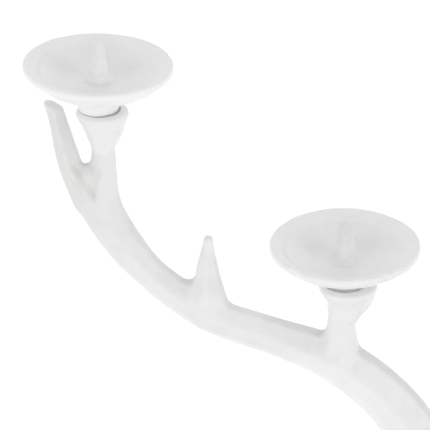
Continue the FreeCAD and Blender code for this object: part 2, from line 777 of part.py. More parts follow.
def add_fork_web(antler):
    """The casting's web that fills the foot of the fork, between the outer tine and the stub."""
    x = stub_spot[0] + size.web_set_out
    foot = stub_spot[1] - size.web_drop - size.web_height
    sections = []
    for share in (0, 0.6, 1):
        name = f"fork_web_section_{len(sections)}"
        diameter = blend(size.web_root, size.web_top, share)
        sections.append(add_section(antler, name, x, foot + size.web_height * share, diameter))
    skin(antler, "fork_web", sections)


def round_edge(body, feature, centre, radius):
    """Round the ring-shaped edge of a feature that has its middle at the given place."""
    doc.recompute()
    names = []
    for number, edge in enumerate(feature.Shape.Edges, start=1):
        if edge.isClosed() and edge.CenterOfMass.isEqual(centre, EDGE_REACH):
            names.append(f"Edge{number}")
    rounding = body.newObject("PartDesign::Fillet", feature.Name + "_edge")
    rounding.Base = (feature, names)
    bind(rounding, "Radius", radius)


def make_antlers():
    antler = new_body("antler_1")
    add_beam(antler)
    add_inner_stem(antler)
    add_middle_tine(antler)
    add_outer_tine(antler)
    add_fork_web(antler)
    bolt_depth = size.bolt_reach + size.thread_bottom
    upright(antler, "SubtractiveCylinder", "arm_bolt_thread",
            size.bolt_diameter / 2 + size.thread_clearance, bolt_depth, size.burr_circle)
    for name, (x, top) in (("outer_stud_hole", stub_spot), ("inner_stud_hole", stem_spot)):
        upright(antler, "SubtractiveCylinder", name, stud_hole, stud_depth, x, top - stud_depth)
    stand_round_hub(antler, "antler", dim(0), plate_z)


# Cups, studs, pans and prickets

pan_bowl_floor = size.pan_bowl_height - size.pan_depth


def make_cups(name, neck, belly, diameter, height, stub_x, belly_x, lip_x, pan_x, foot_z):
    """A flared seat that leans from its stub to under the pan, with a rounded lip and a flat top."""
    cup = new_body(name + "_1")
    lip_z = height - size.cup_lip
    sections = []
    for x, z, across in (
        (stub_x, dim(0), neck + size.cup_step * 2),
        (belly_x, lip_z * 0.5, belly),
        (lip_x, lip_z, diameter),
    ):
        sections.append(add_section(cup, f"{name}_section_{len(sections)}", x - pan_x, z, across))
    skin(cup, name + "_flare", sections)
    lip = upright(cup, "AdditiveCylinder", name + "_lip", diameter / 2, size.cup_lip,
                  lip_x - pan_x, lip_z)
    round_edge(cup, lip, lip.Placement.Base + Vector(0, 0, size.cup_lip.number), size.cup_lip_round)
    shank_depth = size.shank_grip + size.thread_bottom
    shank_hole = size.shank_diameter / 2 + size.thread_clearance
    upright(cup, "SubtractiveCylinder", name + "_shank_hole", shank_hole, shank_depth,
            z=height - shank_depth)
    upright(cup, "SubtractiveCylinder", name + "_stud_hole", stud_hole, stud_depth, stub_x - pan_x)
    stand_round_hub(cup, name, pan_x, foot_z)


def make_pans(name, foot_height, x, seat_z):
    hole = size.shank_diameter / 2 + size.shank_clearance
    edge = size.pan_diameter / 2
    half_rim = size.pan_rim / 2
    rim = foot_height + size.pan_bowl_height
    floor = foot_height + pan_bowl_floor
    pan = turned(name + "_1", [
        (hole, 0),
        (size.pan_foot_diameter / 2, 0),
        (size.pan_foot_top / 2, foot_height, "left", size.pan_under_bend),
        (edge, rim - size.pan_edge),
        (edge, rim - half_rim, "left", half_rim),
        (edge - half_rim, rim, "left", half_rim),
        (edge - size.pan_rim, rim - half_rim),
        (size.pan_crease_diameter / 2, rim - size.pan_crease_drop, "right", size.pan_bowl_bend),
        (size.pan_floor_diameter / 2, floor),
        (hole, floor),
    ])
    stand_round_hub(pan, name, x, seat_z)


def make_prickets(name, foot_height, x, seat_z):
    floor = size.shank_grip + foot_height + pan_bowl_floor
    flange = floor + size.flange_gap
    top = floor + size.pricket_height
    tip = size.pricket_tip / 2
    pricket = turned(name + "_1", [
        (0, 0),
        (size.shank_diameter / 2, 0),
        (size.shank_diameter / 2, flange),
        (size.pricket_flange / 2, flange),
        (size.pricket_base / 2, flange + size.flange_thickness),
        (tip, top - tip, "left", tip),
        (0, top),
    ])
    stand_round_hub(pricket, name, x, seat_z - size.shank_grip)


def make_studs():
    studs = new_body("cup_studs")
    studs.AllowCompound = True
    rods = []
    for name, (x, z) in (("outer_stud", stub_spot), ("inner_stud", stem_spot)):
        rods.append(upright(studs, "AdditiveCylinder", name, size.stud_diameter / 2,
                            size.stud_grip * 2, x, z - size.stud_grip))
    repeat_round(studs, rods, ARMS)
    place(studs, z=plate_z, turn=FIRST_ARM_TURN)


def make_candle_seats():
    """Cup, pan and pricket on each outer stub and on each inner stem."""
    stub_x, stub_z = stub_spot
    make_cups("outer_cup", size.outer_neck_diameter, size.outer_cup_belly, size.outer_cup_diameter,
              size.outer_cup_height, stub_x, stub_x - size.outer_belly_set_in,
              stub_x + size.outer_lip_set_out, size.arm_reach, plate_z + stub_z)
    stem_x, stem_z = stem_spot
    make_cups("inner_cup", size.inner_neck_diameter, size.inner_cup_belly, size.inner_cup_diameter,
              size.inner_cup_height, stem_x, stem_x - size.inner_belly_set_in,
              stem_x - size.inner_lip_set_in, inner_axis, plate_z + stem_z)
    for name, foot_height, x, seat_z in (
        ("outer", size.outer_foot_height, size.arm_reach, plate_z + stub_z + size.outer_cup_height),
        ("inner", size.inner_foot_height, inner_axis, plate_z + stem_z + size.inner_cup_height),
    ):
        make_pans(name + "_pan", foot_height, x, seat_z)
        make_prickets(name + "_pricket", foot_height, x, seat_z)


make_rose()
make_hook()
make_nut("hook_nut", size.hook_nut_across, size.hook_nut_height,
         size.hook_wire / 2 + size.thread_clearance, -nut_pocket)
make_chain()
make_eye()
make_column()
make_hub()
make_antlers()
make_candle_seats()
make_studs()
doc.recompute()

for item in doc.Objects:
    if {"Invalid", "Error"} & set(item.State):
        raise RuntimeError(f"{item.Label} could not be built")
for piece in pieces:
    if piece.Shape.isNull() or not piece.Shape.isValid():
        raise RuntimeError(f"{piece.Label} has no valid solid")

os.makedirs("parts", exist_ok=True)
for piece in pieces:
    piece.Shape.exportStep(f"parts/{piece.Label}.step")
print(len(pieces), "pieces written")
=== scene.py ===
"""Antler chandelier in white cast enamel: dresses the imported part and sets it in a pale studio."""

import json
import math
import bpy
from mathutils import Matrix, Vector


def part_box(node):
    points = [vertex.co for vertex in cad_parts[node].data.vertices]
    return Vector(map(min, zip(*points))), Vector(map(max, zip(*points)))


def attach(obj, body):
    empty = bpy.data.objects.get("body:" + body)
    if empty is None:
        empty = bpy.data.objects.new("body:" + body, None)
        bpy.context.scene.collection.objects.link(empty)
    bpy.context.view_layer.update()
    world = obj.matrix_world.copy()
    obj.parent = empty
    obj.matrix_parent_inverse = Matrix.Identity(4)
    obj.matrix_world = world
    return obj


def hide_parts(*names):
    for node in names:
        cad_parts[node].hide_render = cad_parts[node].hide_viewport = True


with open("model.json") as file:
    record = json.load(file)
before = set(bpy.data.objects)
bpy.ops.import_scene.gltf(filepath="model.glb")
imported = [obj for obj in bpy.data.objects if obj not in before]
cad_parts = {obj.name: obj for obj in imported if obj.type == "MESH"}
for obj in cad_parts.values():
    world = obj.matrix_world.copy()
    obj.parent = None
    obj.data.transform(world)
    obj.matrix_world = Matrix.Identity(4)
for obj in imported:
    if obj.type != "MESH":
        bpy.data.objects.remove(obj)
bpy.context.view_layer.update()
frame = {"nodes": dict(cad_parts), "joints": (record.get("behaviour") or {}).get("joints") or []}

from types import SimpleNamespace

import bmesh
import bpy
import numpy as np
from bpy.props import FloatProperty, FloatVectorProperty, PointerProperty
from mathutils import Matrix, Vector, noise

bl_info = {
    "name": "Antler chandelier",
    "version": (1, 0, 0),
    "blender": (4, 5, 0),
    "location": "3D View > Sidebar > Chandelier",
    "description": "Dresses a hanging antler chandelier in cast white enamel",
    "category": "Object",
}

MM = 0.001
ARMS = 4
FIRST_ARM_TURN = math.pi
SEATS = ("outer", "inner")
JOINTS = {joint["name"]: joint for joint in frame["joints"]}
PLATE_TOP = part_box("hub_plate")[1].z


def seat_axis(seat):
    """Distance of a pan's upright axis from the column, and the height of the pan's foot."""
    x, y, z = JOINTS[seat + "_pan_1_turn"]["pos_m"]
    return math.hypot(x, y), z


def arm_place(arm, x=0.0, z=0.0):
    """Place on an arm: x outward from the column, z in the frame, the arm's plane upright."""
    turn = FIRST_ARM_TURN + math.tau * arm / ARMS
    return Matrix.Rotation(turn, 4, "Z") @ Matrix.Translation((x, 0, z))


# Sizes and colours


def length(name, millimetres, note):
    return FloatProperty(name=name, description=note, default=millimetres * MM, unit="LENGTH", precision=4)


def slope(name, degrees, note):
    return FloatProperty(name=name, description=note, default=math.radians(degrees), subtype="ANGLE")


def colour(name, rgb, note):
    return FloatVectorProperty(name=name, description=note, default=rgb, subtype="COLOR", min=0, max=1)


def amount(name, value, note):
    return FloatProperty(name=name, description=note, default=value)


class AntlerSizes(bpy.types.PropertyGroup):
    burr_circle: length("Burr circle", 55, "Column to the middle of each burr")
    burr: length("Burr", 47, "Width of the burr")
    root: length("Root", 36.5, "Width of the beam above the burr")
    shoulder: length("Shoulder", 31.4, "Width of the beam below the inner stem")
    waist: length("Waist", 24.6, "Width of the beam below the middle tine")
    elbow: length("Elbow", 20.4, "Width of the beam below the fork")
    fork: length("Fork", 22.7, "Width of the beam at the fork")
    neck: length("Outer neck", 15, "Top of the outer stub")
    root_slope: slope("Root slope", 86, "Slope of the beam at the burr")
    root_bend: length("Root bend", 140, "Radius of the bend from the burr outward")
    run_slope: slope("Run slope", 18.7, "Slope of the straight run")
    run_length: length("Run", 48.9, "Straight run of the beam")
    run_sag: length("Run sag", 1.3, "Sag of the run below its straight line")
    rise_slope: slope("Rise slope", 45.7, "Slope where the bend upward tightens")
    rise_bend: length("Rise bend", 158.2, "Radius of the bend upward")
    neck_slope: slope("Neck slope", 88, "Slope of the outer stub")
    neck_bend: length("Neck bend", 92, "Radius of the bend into the stub")
    stub_length: length("Stub", 27.4, "Straight outer stub")
    seat_reach: length("Seat reach", 5, "Stub and stem run this far up into their cups")
    stem_slope: slope("Stem foot", 29.8, "Beam slope where the inner stem stands")
    stem_height: length("Stem height", 38.4, "Beam to the top of the inner stem")
    stem_sink: length("Stem sink", 7, "Stem runs down into the beam below its middle")
    stem_set_in: length("Stem set in", 0.6, "Foot of the inner stem, from the beam toward the column")
    stem_root: length("Stem root", 25, "Inner stem where it leaves the beam")
    stem_neck: length("Stem neck", 17, "Top of the inner stem")
    tine_slope: slope("Tine foot", 25.7, "Beam slope where the middle tine stands")
    tine_length: length("Tine", 58.4, "Beam to the tip of the middle tine")
    tine_set_in: length("Tine set in", 0.5, "Foot of the middle tine, from the beam toward the column")
    tine_root: length("Tine root", 25, "Middle tine where it leaves the beam")
    tine_tip: length("Tine tip", 5.8, "Middle tine just below its tip")
    tine_bow: length("Tine bow", 270, "Radius that the middle tine bows outward with")
    tine_lean: slope("Tine lean", 1.7, "Outward lean of the middle tine")
    outer_tine_slope: slope("Outer tine foot", 48, "Beam slope where the outer tine leaves")
    outer_tine_first: slope("Outer tine start", 45.7, "Slope of the outer tine at its root")
    outer_tine_last: slope("Outer tine end", 81, "Slope of the outer tine at its tip")
    outer_tine_bend: length("Outer tine bend", 219, "Radius of the outer tine's bend")
    outer_tine_root: length("Outer tine root", 20, "Outer tine where it leaves the beam")
    outer_tine_tip: length("Outer tine tip", 11, "Outer tine at its blunt tip")
    outer_tine_sway: length("Outer tine sway", 1.2, "Sway of the outer tine, outward and back below its tip")
    outer_tine_tuck: length("Outer tine tuck", 1.2, "Root of the outer tine in toward the beam")
    tip_slant: slope("Tip slant", 20, "Slant of the outer tine's blunt end, falling toward the column")
    tip_loss: length("Tip loss", 3, "Blunt end below the end of the outer tine's line")
    web_set_out: length("Web", 11.2, "Web of the fork outside the middle of the outer stub")
    web_drop: length("Web drop", 20.2, "Top of the outer stub down to the top of the web")
    web_height: length("Web height", 18, "Web of the fork")
    web_root: length("Web root", 13, "Web of the fork at its foot")
    web_top: length("Web top", 11, "Web of the fork at its top")
    outer_tine_aside: length("Outer tine lean", 4, "Sideways lean of the outer tine's tip")
    # Painted shade on the antlers, which these call dust and grime: darker outward from the column, on faces
    # turned up, under the run and higher up, with none on the outer tine's tip.
    shade_start: length("Dust start", 235, "Distance from the column where dust begins to dull the antlers")
    shade_reach: length("Dust reach", 70, "Length over which the dust grows")
    shade_below_start: length("Grime start", 140, "Distance from the column where grime begins under the antlers")
    unshaded_tip: length("Clean tip", 6, "Length of the outer tine's tip that no dust lies on")
    shade_rise: length("Dust rise", 30, "Height or length over which dust and grime set in")
    shade_level: length("Dust level", 142, "Height above the plate where more dust lies on what faces up")
    stray: length("Stray", 0.8, "A vertex this far off the form is drawn back by its neighbours alone")
    voxel: length("Mesh size", 1.2, "Grid that the antler's skin is meshed on")


class SeatSizes(bpy.types.PropertyGroup):
    pan: length("Pan", 100, "Candle pan across its rim")
    rim: length("Rim", 2.6, "Thickness of the pan's rim")
    rim_edge: length("Rim edge", 3.4, "Upright outside of the rim")
    pan_depth: length("Depth", 11.5, "Rim of the pan to its floor")
    pan_floor: length("Floor", 24, "Flat floor of the pan")
    under_bend: length("Under bend", 58, "Radius of the pan's underside")
    outer_tilt: slope("Outer tilt", 1.4, "The outer pan stands this much out of level")
    inner_tilt: slope("Inner tilt", 1.5, "The inner pan stands this much out of level")
    shank: length("Shank", 6, "Threaded shank under the spike")
    cup_lip: length("Cup lip", 4.5, "Height of a cup's rounded lip")


class FinishColours(bpy.types.PropertyGroup):
    enamel: colour("Enamel", (0.83, 0.83, 0.83), "White enamel on the castings")
    # Spike is a painted highlight: the spikes' enamel is painted lighter, for the light that falls on them
    # from the front.
    spike: colour("Spike", (0.89, 0.89, 0.89), "Thicker enamel on the spikes")
    # Crest is a painted highlight: the castings' crests are painted lighter than the enamel.
    crest: colour("Crest", (0.88, 0.88, 0.88), "Thick enamel on the crests of the castings")
    # The dust colour is the painted shade of the castings, in their hollows and on faces turned away from
    # the light, and real dust on the chain.
    dust_and_shade: colour("Dust", (0.56, 0.555, 0.545), "Dust and thin enamel in the hollows")
    zinc: colour("Zinc", (0.60, 0.61, 0.62), "Zinc plated nuts, bolts and rods")
    worn: colour("Worn steel", (0.42, 0.41, 0.40), "Steel where the chain has rubbed")


class StudioLight(bpy.types.PropertyGroup):
    floor_level: length("Floor", -1700, "Height of the floor below the ceiling")
    sky: amount("Sky", 0.76, "Light from above")
    horizon: amount("Horizon", 1.2, "Light from all round")
    floor_glow: amount("Floor glow", 0.235, "Light that the pale floor gives off")
    side_watts: amount("Side lamp", 2.5, "Soft lamp to the right of the camera")


# Materials


class Value:
    """A node's output that takes part in Python sums: each sum adds a Math node."""

    def __init__(self, shader, socket):
        self.shader = shader
        self.socket = socket

    def reckon(self, operation, first, second):
        return self.shader.add("ShaderNodeMath", {"operation": operation}, {0: first, 1: second})

    def __add__(self, other):
        return self.reckon("ADD", self, other)

    def __sub__(self, other):
        return self.reckon("SUBTRACT", self, other)

    def __rsub__(self, other):
        return self.reckon("SUBTRACT", other, self)

    def __mul__(self, other):
        return self.reckon("MULTIPLY", self, other)

    def __pow__(self, other):
        return self.reckon("POWER", self, other)

    __radd__ = __add__
    __rmul__ = __mul__


class Shader:
    """Builds one node tree, of a material or of the world."""

    def __init__(self, owner):
        owner.use_nodes = True
        self.tree = owner.node_tree
        self.tree.nodes.clear()

    def add(self, kind, settings=None, inputs=None, output=0):
        """Add a node, set it up, fill its sockets with values or links and give back an output."""
        node = self.tree.nodes.new(kind)
        for key, setting in (settings or {}).items():
            if key == "stops":
                self.set_stops(node.color_ramp, setting)
            else:
                setattr(node, key, setting)
        for key, value in (inputs or {}).items():
            if isinstance(value, Value):
                self.tree.links.new(value.socket, node.inputs[key])
            else:
                node.inputs[key].default_value = value
        if not node.outputs:
            return None
        return Value(self, node.outputs[output])

    def set_stops(self, ramp, stops):
        for index, (position, level) in enumerate(stops):
            stop = ramp.elements[index] if index < 2 else ramp.elements.new(position)
            stop.position = position
            stop.color = (level, level, level, 1)

    def place(self, stretch=(1, 1, 1)):
        """Places on the piece itself, stretched along its axes."""
        spot = self.add("ShaderNodeTexCoord", output="Object")
        return self.add("ShaderNodeMapping", {}, {"Vector": spot, "Scale": stretch})

    def noise(self, place, scale, detail=3.0, roughness=0.55):
        sockets = {"Vector": place, "Scale": scale, "Detail": detail, "Roughness": roughness}
        return self.add("ShaderNodeTexNoise", {}, sockets)

    def ramp(self, value, stops):
        return self.add("ShaderNodeValToRGB", {"stops": stops}, {"Fac": value})

    def mix(self, share, first, last):
        """Colour from first to last as share goes from 0 to 1; the Mix node's socket names repeat."""
        sockets = {0: share, 6: first, 7: last}
        return self.add("ShaderNodeMix", {"data_type": "RGBA"}, sockets, output=2)

    def attribute(self, name):
        return self.add("ShaderNodeAttribute", {"attribute_name": name}, output="Fac")

    def bump(self, height, strength, distance, under=None):
        sockets = {"Height": height, "Strength": strength, "Distance": distance}
        if under is not None:
            sockets["Normal"] = under
        return self.add("ShaderNodeBump", {}, sockets)

    def surface(self, **sockets):
        closure = self.add("ShaderNodeBsdfPrincipled", {}, sockets)
        self.add("ShaderNodeOutputMaterial", {}, {"Surface": closure})


def opaque(rgb):
    return (*rgb, 1.0)


def start_finish(name):
    """A new material, the builder of its nodes, and the colours of the finishes."""
    material = bpy.data.materials.new(name)
    return material, Shader(material), bpy.context.scene.chandelier_finish


def cast_enamel(name, lump, depth, blotch=0.16, colour_name="enamel", gloss=0.36):
    """White enamel over a rough casting: soft lumps, orange peel, painted shade in the hollows and on the
    faces marked for it, and a painted highlight on the crests.
    """
    material, shader, tones = start_finish(name)
    place = shader.place()
    lumps = shader.noise(place, lump, 4.0)
    mottle = shader.noise(place, 22.0, 2.0)
    peel = shader.noise(place, 900.0, 2.0)
    relief = shader.attribute("hollow")
    hollow = shader.ramp(relief, [(0.0, 0.0), (1.0, 1.0)])
    # Painted highlight: the crests mix toward the lighter crest colour.
    crest = shader.ramp(relief * -1, [(0.6, 0.0), (1.0, 0.24)])
    # Painted shade: the hollows and the shade stored on the mesh, with random darker blotches, mix the
    # enamel toward the shade colour.
    painted_shade = shader.attribute("painted_shade")
    darkening = hollow * 0.3 + painted_shade * 0.24 + shader.ramp(lumps, [(0.25, blotch), (0.5, 0.0)])
    shading = shader.ramp(darkening + (mottle - 0.45) * 0.1, [(0.0, 0.0), (1.0, 1.0)])
    tint = shader.mix(shading, opaque(getattr(tones, colour_name)), opaque(tones.dust_and_shade))
    tint = shader.mix(crest, tint, opaque(tones.crest))
    wet = shader.ramp(mottle + hollow * 0.3, [(0.3, gloss - 0.05), (0.75, gloss + 0.13)])
    skin = shader.bump(lumps, depth, 0.0012)
    skin = shader.bump(peel, 0.07, 0.0006, skin)
    shader.surface(**{
        "Base Color": tint,
        "Roughness": wet,
        "Normal": skin,
        "Coat Weight": 0.25 - shading * 0.2,
        "Coat Roughness": 0.3,
        "IOR": 1.48,
    })
    return material


def chain_enamel(name):
    """White enamel on wire, rubbed through to steel where one wire hangs on another."""
    material, shader, tones = start_finish(name)
    place = shader.place()
    flecks = shader.noise(place, 420.0, 4.0, 0.7)
    rubbed = shader.ramp(shader.attribute("rub") + (flecks - 0.5) * 0.7, [(0.5, 0.0), (0.62, 1.0)])
    peel = shader.noise(place, 700.0, 2.0)
    mottle = shader.noise(place, 60.0, 3.0)
    soiled = shader.ramp(mottle, [(0.35, 0.0), (0.8, 0.22)])
    paint = shader.mix(soiled, opaque(tones.enamel), opaque(tones.dust_and_shade))
    tint = shader.mix(rubbed, paint, opaque(tones.worn))
    edge = shader.bump(peel * 0.12 - rubbed * 0.6, 0.5, 0.0004)
    shader.surface(**{
        "Base Color": tint,
        "Metallic": rubbed * 0.9,
        "Roughness": 0.36 + mottle * 0.12 + rubbed * 0.04,
        "Normal": edge,
        "IOR": 1.48,
    })
    return material


def zinc_plate(name):
    """Bright zinc on steel, faintly streaked, with dull spots."""
    material, shader, tones = start_finish(name)
    streaks = shader.noise(shader.place((260, 260, 900)), 1.0, 3.0)
    spots = shader.ramp(shader.noise(shader.place(), 240.0, 3.0), [(0.5, 0.0), (0.72, 1.0)])
    tint = shader.mix(spots * 0.6 + streaks * 0.2, opaque(tones.zinc), opaque(tones.worn))
    shader.surface(**{
        "Base Color": tint,
        "Metallic": 1.0,
        "Roughness": 0.28 + streaks * 0.14 + spots * 0.15,
        "Normal": shader.bump(streaks, 0.12, 0.0003),
    })
    return material


# Meshes

WELD = 1e-6
EDGE_ANGLE = math.radians(50)
FOLD_RINGS = 3
DIP_ROUNDS = 2


def smooth_line(points, step):
    """Points about a step apart on a curve through the given ones; a doubled point is a corner."""
    spots = [np.array(point, float) for point in points]
    line = []
    for before, first, last, after in zip(spots[:1] + spots, spots, spots[1:], spots[2:] + spots[-1:]):
        reach = np.linalg.norm(last - first)
        if reach == 0:
            continue
        count = max(1, math.ceil(reach / step))
        for t in np.arange(count) / count:
            bend = (last - before) * t + (2 * before - 5 * first + 4 * last - after) * t ** 2
            line.append(first + 0.5 * (bend + (3 * first - before - 3 * last + after) * t ** 3))
    line.append(spots[-1])
    return np.array(line)


def arc_line(first, last, radius, count):
    """Points on an arc that bulges to the right of the way from first to last, both ends left out."""
    first, last = np.array(first, float), np.array(last, float)
    chord = last - first
    half = np.linalg.norm(chord) / 2
    left = np.array((-chord[1], chord[0])) / (2 * half)
    centre = (first + last) / 2 + left * math.sqrt(radius ** 2 - half ** 2)
    start = math.atan2(*(first - centre)[::-1])
    turn = 2 * math.asin(half / radius)
    angles = start + turn * np.arange(1, count) / count
    return centre + radius * np.stack([np.cos(angles), np.sin(angles)], axis=1)


def angles_round(columns):
    return np.arange(columns) / columns * math.tau


def hump(values, middle, spread):
    """1 at the middle, falling softly to nothing about two spreads away."""
    return np.exp(-((values - middle) / spread) ** 2)


def grow(values, start, reach):
    """0 up to a start, then up to 1 over a reach."""
    return np.clip((values - start) / reach, 0, 1)


def between(first, last, part):
    return first + (last - first) * part


def turned_places(profile, columns):
    """Places of a profile of (radius, height) points turned about the upright axis: row, column, xyz."""
    angles = angles_round(columns)
    radius, height = profile[:, :1], profile[:, 1:2]
    spread = np.ones_like(angles)[None]
    return np.stack([radius * np.cos(angles), radius * np.sin(angles), height * spread], axis=-1)


def ring_mesh(name, places, closed):
    """Quads over rows of places, each row a ring; a closed set of rows joins its last to its first."""
    rows, columns = places.shape[:2]
    faces = []
    for row in range(rows if closed else rows - 1):
        above = (row + 1) % rows
        for column in range(columns):
            beside = (column + 1) % columns
            faces.append((row * columns + column, row * columns + beside,
                          above * columns + beside, above * columns + column))
    mesh = bpy.data.meshes.new(name)
    mesh.from_pydata(places.reshape(-1, 3).tolist(), [], faces)
    tidy_mesh(mesh)
    return mesh


def tidy_mesh(mesh):
    work = bmesh.new()
    work.from_mesh(mesh)
    bmesh.ops.remove_doubles(work, verts=work.verts, dist=WELD)
    bmesh.ops.recalc_face_normals(work, faces=work.faces)
    work.to_mesh(mesh)
    work.free()
    mesh.shade_smooth()
    mesh.set_sharp_from_angle(angle=EDGE_ANGLE)


def places_of(mesh):
    flat = np.empty(len(mesh.vertices) * 3)
    mesh.vertices.foreach_get("co", flat)
    return flat.reshape(-1, 3)


def normals_of(mesh):
    flat = np.empty(len(mesh.vertices) * 3, np.float32)
    mesh.vertex_normals.foreach_get("vector", flat)
    return flat.reshape(-1, 3)


def move_places(mesh, places):
    mesh.vertices.foreach_set("co", places.ravel())
    mesh.update()


def neighbour_mean(mesh, values):
    """For each vertex, the mean of what its neighbours along the edges hold."""
    ends = np.empty(len(mesh.edges) * 2, np.int32)
    mesh.edges.foreach_get("vertices", ends)
    first, last = ends.reshape(-1, 2).T
    total = np.zeros_like(values)
    np.add.at(total, first, values[last])
    np.add.at(total, last, values[first])
    count = np.bincount(ends, minlength=len(values)).reshape(-1, *[1] * (values.ndim - 1))
    return total / np.maximum(count, 1)


def relax_folds(mesh, sharp, rounds):
    """Draw the few folded places of a skin flat: there the vertices go towards their neighbours."""
    work = bmesh.new()
    work.from_mesh(mesh)
    sunk = [edge for edge in work.edges if edge.calc_face_angle_signed(0) < -sharp]
    folded = {vertex for edge in sunk for vertex in edge.verts}
    for ring in range(FOLD_RINGS):
        folded |= {edge.other_vert(vertex) for vertex in folded for edge in vertex.link_edges}
    folded = sorted(folded, key=lambda vertex: vertex.index)
    axes = {"use_axis_x": True, "use_axis_y": True, "use_axis_z": True}
    for step in range(rounds):
        bmesh.ops.smooth_vert(work, verts=folded, factor=0.5, **axes)
    work.to_mesh(mesh)
    work.free()


def mark_hollows(mesh, scale, rounds=6, share=1.0):
    """Store how hollow the surface is at each vertex, for painted shade in the hollows and a painted
    highlight on the crests: 1 in a hollow, -1 on a crest.
    """
    places = places_of(mesh)
    broad = places
    for step in range(rounds):
        broad = neighbour_mean(mesh, broad)
    dip = np.sum((broad - places) * normals_of(mesh), axis=1) / scale
    for step in range(DIP_ROUNDS):
        dip = neighbour_mean(mesh, dip)
    store(mesh, "hollow", np.clip(dip * share, -1, 1))


def store(mesh, name, values):
    layer = mesh.attributes.new(name, "FLOAT", "POINT")
    layer.data.foreach_set("value", values.astype(np.float32))


def grain(places, scale, seed=0.0):
    """Smooth noise from -1 to 1 at each place, its lumps about a scale across."""
    shift = Vector((seed, seed * 1.7, -seed))
    return np.array([noise.noise(Vector(place) / scale + shift) for place in places])


def put(name, mesh, place, material, body, slot, *nodes):
    """Set a mesh in its place as a piece that rides a body and stands for CAD nodes."""
    piece = bpy.data.objects.new(name, mesh)
    bpy.context.scene.collection.objects.link(piece)
    piece.matrix_world = place
    if not mesh.materials:
        mesh.materials.append(material)
    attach(piece, body)
    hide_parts(*nodes)


def put_on_arms(kind, mesh, x, z, material, slot, turns=False):
    """Set a casting on every arm in place of its solid; one that turns rides a body of its own."""
    for arm in range(ARMS):
        name = f"{kind}_{arm + 1}"
        body = name if turns else "frame"
        put(name + "_casting", mesh, arm_place(arm, x, z), material, body, slot, name)


def roughen(mesh, height, scale, seed, low=-1.0, high=1.0):
    """Push a skin in and out a little, as a casting's is, between two heights."""
    places = places_of(mesh)
    rough = height * (grain(places, scale, seed) + 0.5 * grain(places, scale * 0.4, seed + 4.0))
    free = np.clip(np.minimum(places[:, 2] - low, high - places[:, 2]) / MM, 0, 1)
    move_places(mesh, places + normals_of(mesh) * (rough * free)[:, None])


def dress(node, material):
    """Give a carried-over CAD node its finish."""
    piece = frame["nodes"][node]
    piece.data.materials.clear()
    piece.data.materials.append(material)
    return piece


# Antlers

SPOT_STEP = 2 * MM
SOFT_SPOTS = 7
PLACES_AT_ONCE = 4000
TINY = 1e-9
EDGE_SHARPNESS = 20
CUT_ROUND = 2.2 * MM
ROUGH_DEPTH = 0.85
END_ROUND = 0.7
RUN_MIDDLE, RUN_SPREAD = 0.58, 0.07
TUCK_MIDDLE, TUCK_SPREAD = 0.2, 0.3
# Facets of a section: the slope that each faces in degrees, and its distance from the middle
BEAM_SECTION = ((90, 1.01), (34, 0.85), (-8, 0.87), (-45, 0.95), (-90, 1.02))
STEM_SECTION = ((90, 1.0), (45, 1.06), (0, 0.97), (-45, 1.06), (-90, 1.0))
TINE_SECTION = ((90, 1.0), (30, 0.98), (-30, 0.98), (-90, 1.0))
STEM_MELT, TINE_MELT, FORK_MELT, ROOT_MELT = 5 * MM, 11 * MM, 8 * MM, 11 * MM
FORK_HOLLOW_FOOT = np.array((4 * MM, -44 * MM))
FORK_HOLLOW_INSIDE = np.array((-1.5 * MM, -13 * MM))
FORK_HOLLOW_OUTSIDE = np.array((26 * MM, -13 * MM))
FORK_HOLLOW_EDGE, FORK_HOLLOW_DEPTH = 2.4 * MM, 0.8 * MM
FORK_HOLLOW_TOP, FORK_HOLLOW_FADE = 32 * MM, 8 * MM
FORK_RIDGE_HEIGHT, FORK_RIDGE_WIDTH, FORK_RIDGE_FADES = 0.8 * MM, 1.3 * MM, 3
LUMP_HEIGHT, LUMP_SIZE = 0.2 * MM, 16 * MM
PIT_HEIGHT, PIT_SIZE = 0.08 * MM, 5 * MM
STREAK_HEIGHT, STREAK_LENGTH, STREAKS_ROUND = 0.2 * MM, 45 * MM, 2.2
PEARL_HEIGHT, PEARL_SIZE, PEARL_REACH = 1.5 * MM, 6.5 * MM, 34 * MM
END_CLEAR = 2 * MM
# Drawing the skin on to the form: tries in each round, share of the gap closed in a try,
# and how many tries are left when smoothing, evening and the relaxing of folds are done
DRAWS, DRAW_SHARE = (8, 6), 0.9
SMOOTH_ABOVE, EVEN_ABOVE, FOLDS_AT = 2, 3, (5, 3)
TRIES_WITH_STRAYS = 3
FOLD_ANGLE, FOLD_ROUNDS = 0.8, 12
ANTLER_DIP, ANTLER_DIP_ROUNDS = 0.45 * MM, 8
# Painted shade on the antlers: how much falls outward, on faces turned up, below the run, beside the stem,
# along the root's ridge and on faces turned toward the column.
MOST_SHADE, LEAST_SHADE_ON_TOP, SHADE_ON_TOP = 1.9, 0.3, 2.2
SHADE_BELOW, SHADE_BELOW_FACING, SHADE_BELOW_SPREAD = 0.8, -0.3, 0.35
SHADE_BY_STEM, STEM_SHADE_PLACE, STEM_SHADE_REACH = 0.8, 152 * MM, 24 * MM
SHADE_ON_ROOT, ROOT_SHADE_END, ROOT_RIDGE = 1.6, 182 * MM, np.array((-0.55, 0, 0.83))
SHADE_HUBWARD, HUBWARD = 0.8, np.array((-0.9, 0, 0.43))
RIDGE_EDGE, HUBWARD_EDGE, EDGE_FADE = 0.7, 0.72, 0.15
SHADE_ROUNDS = 2


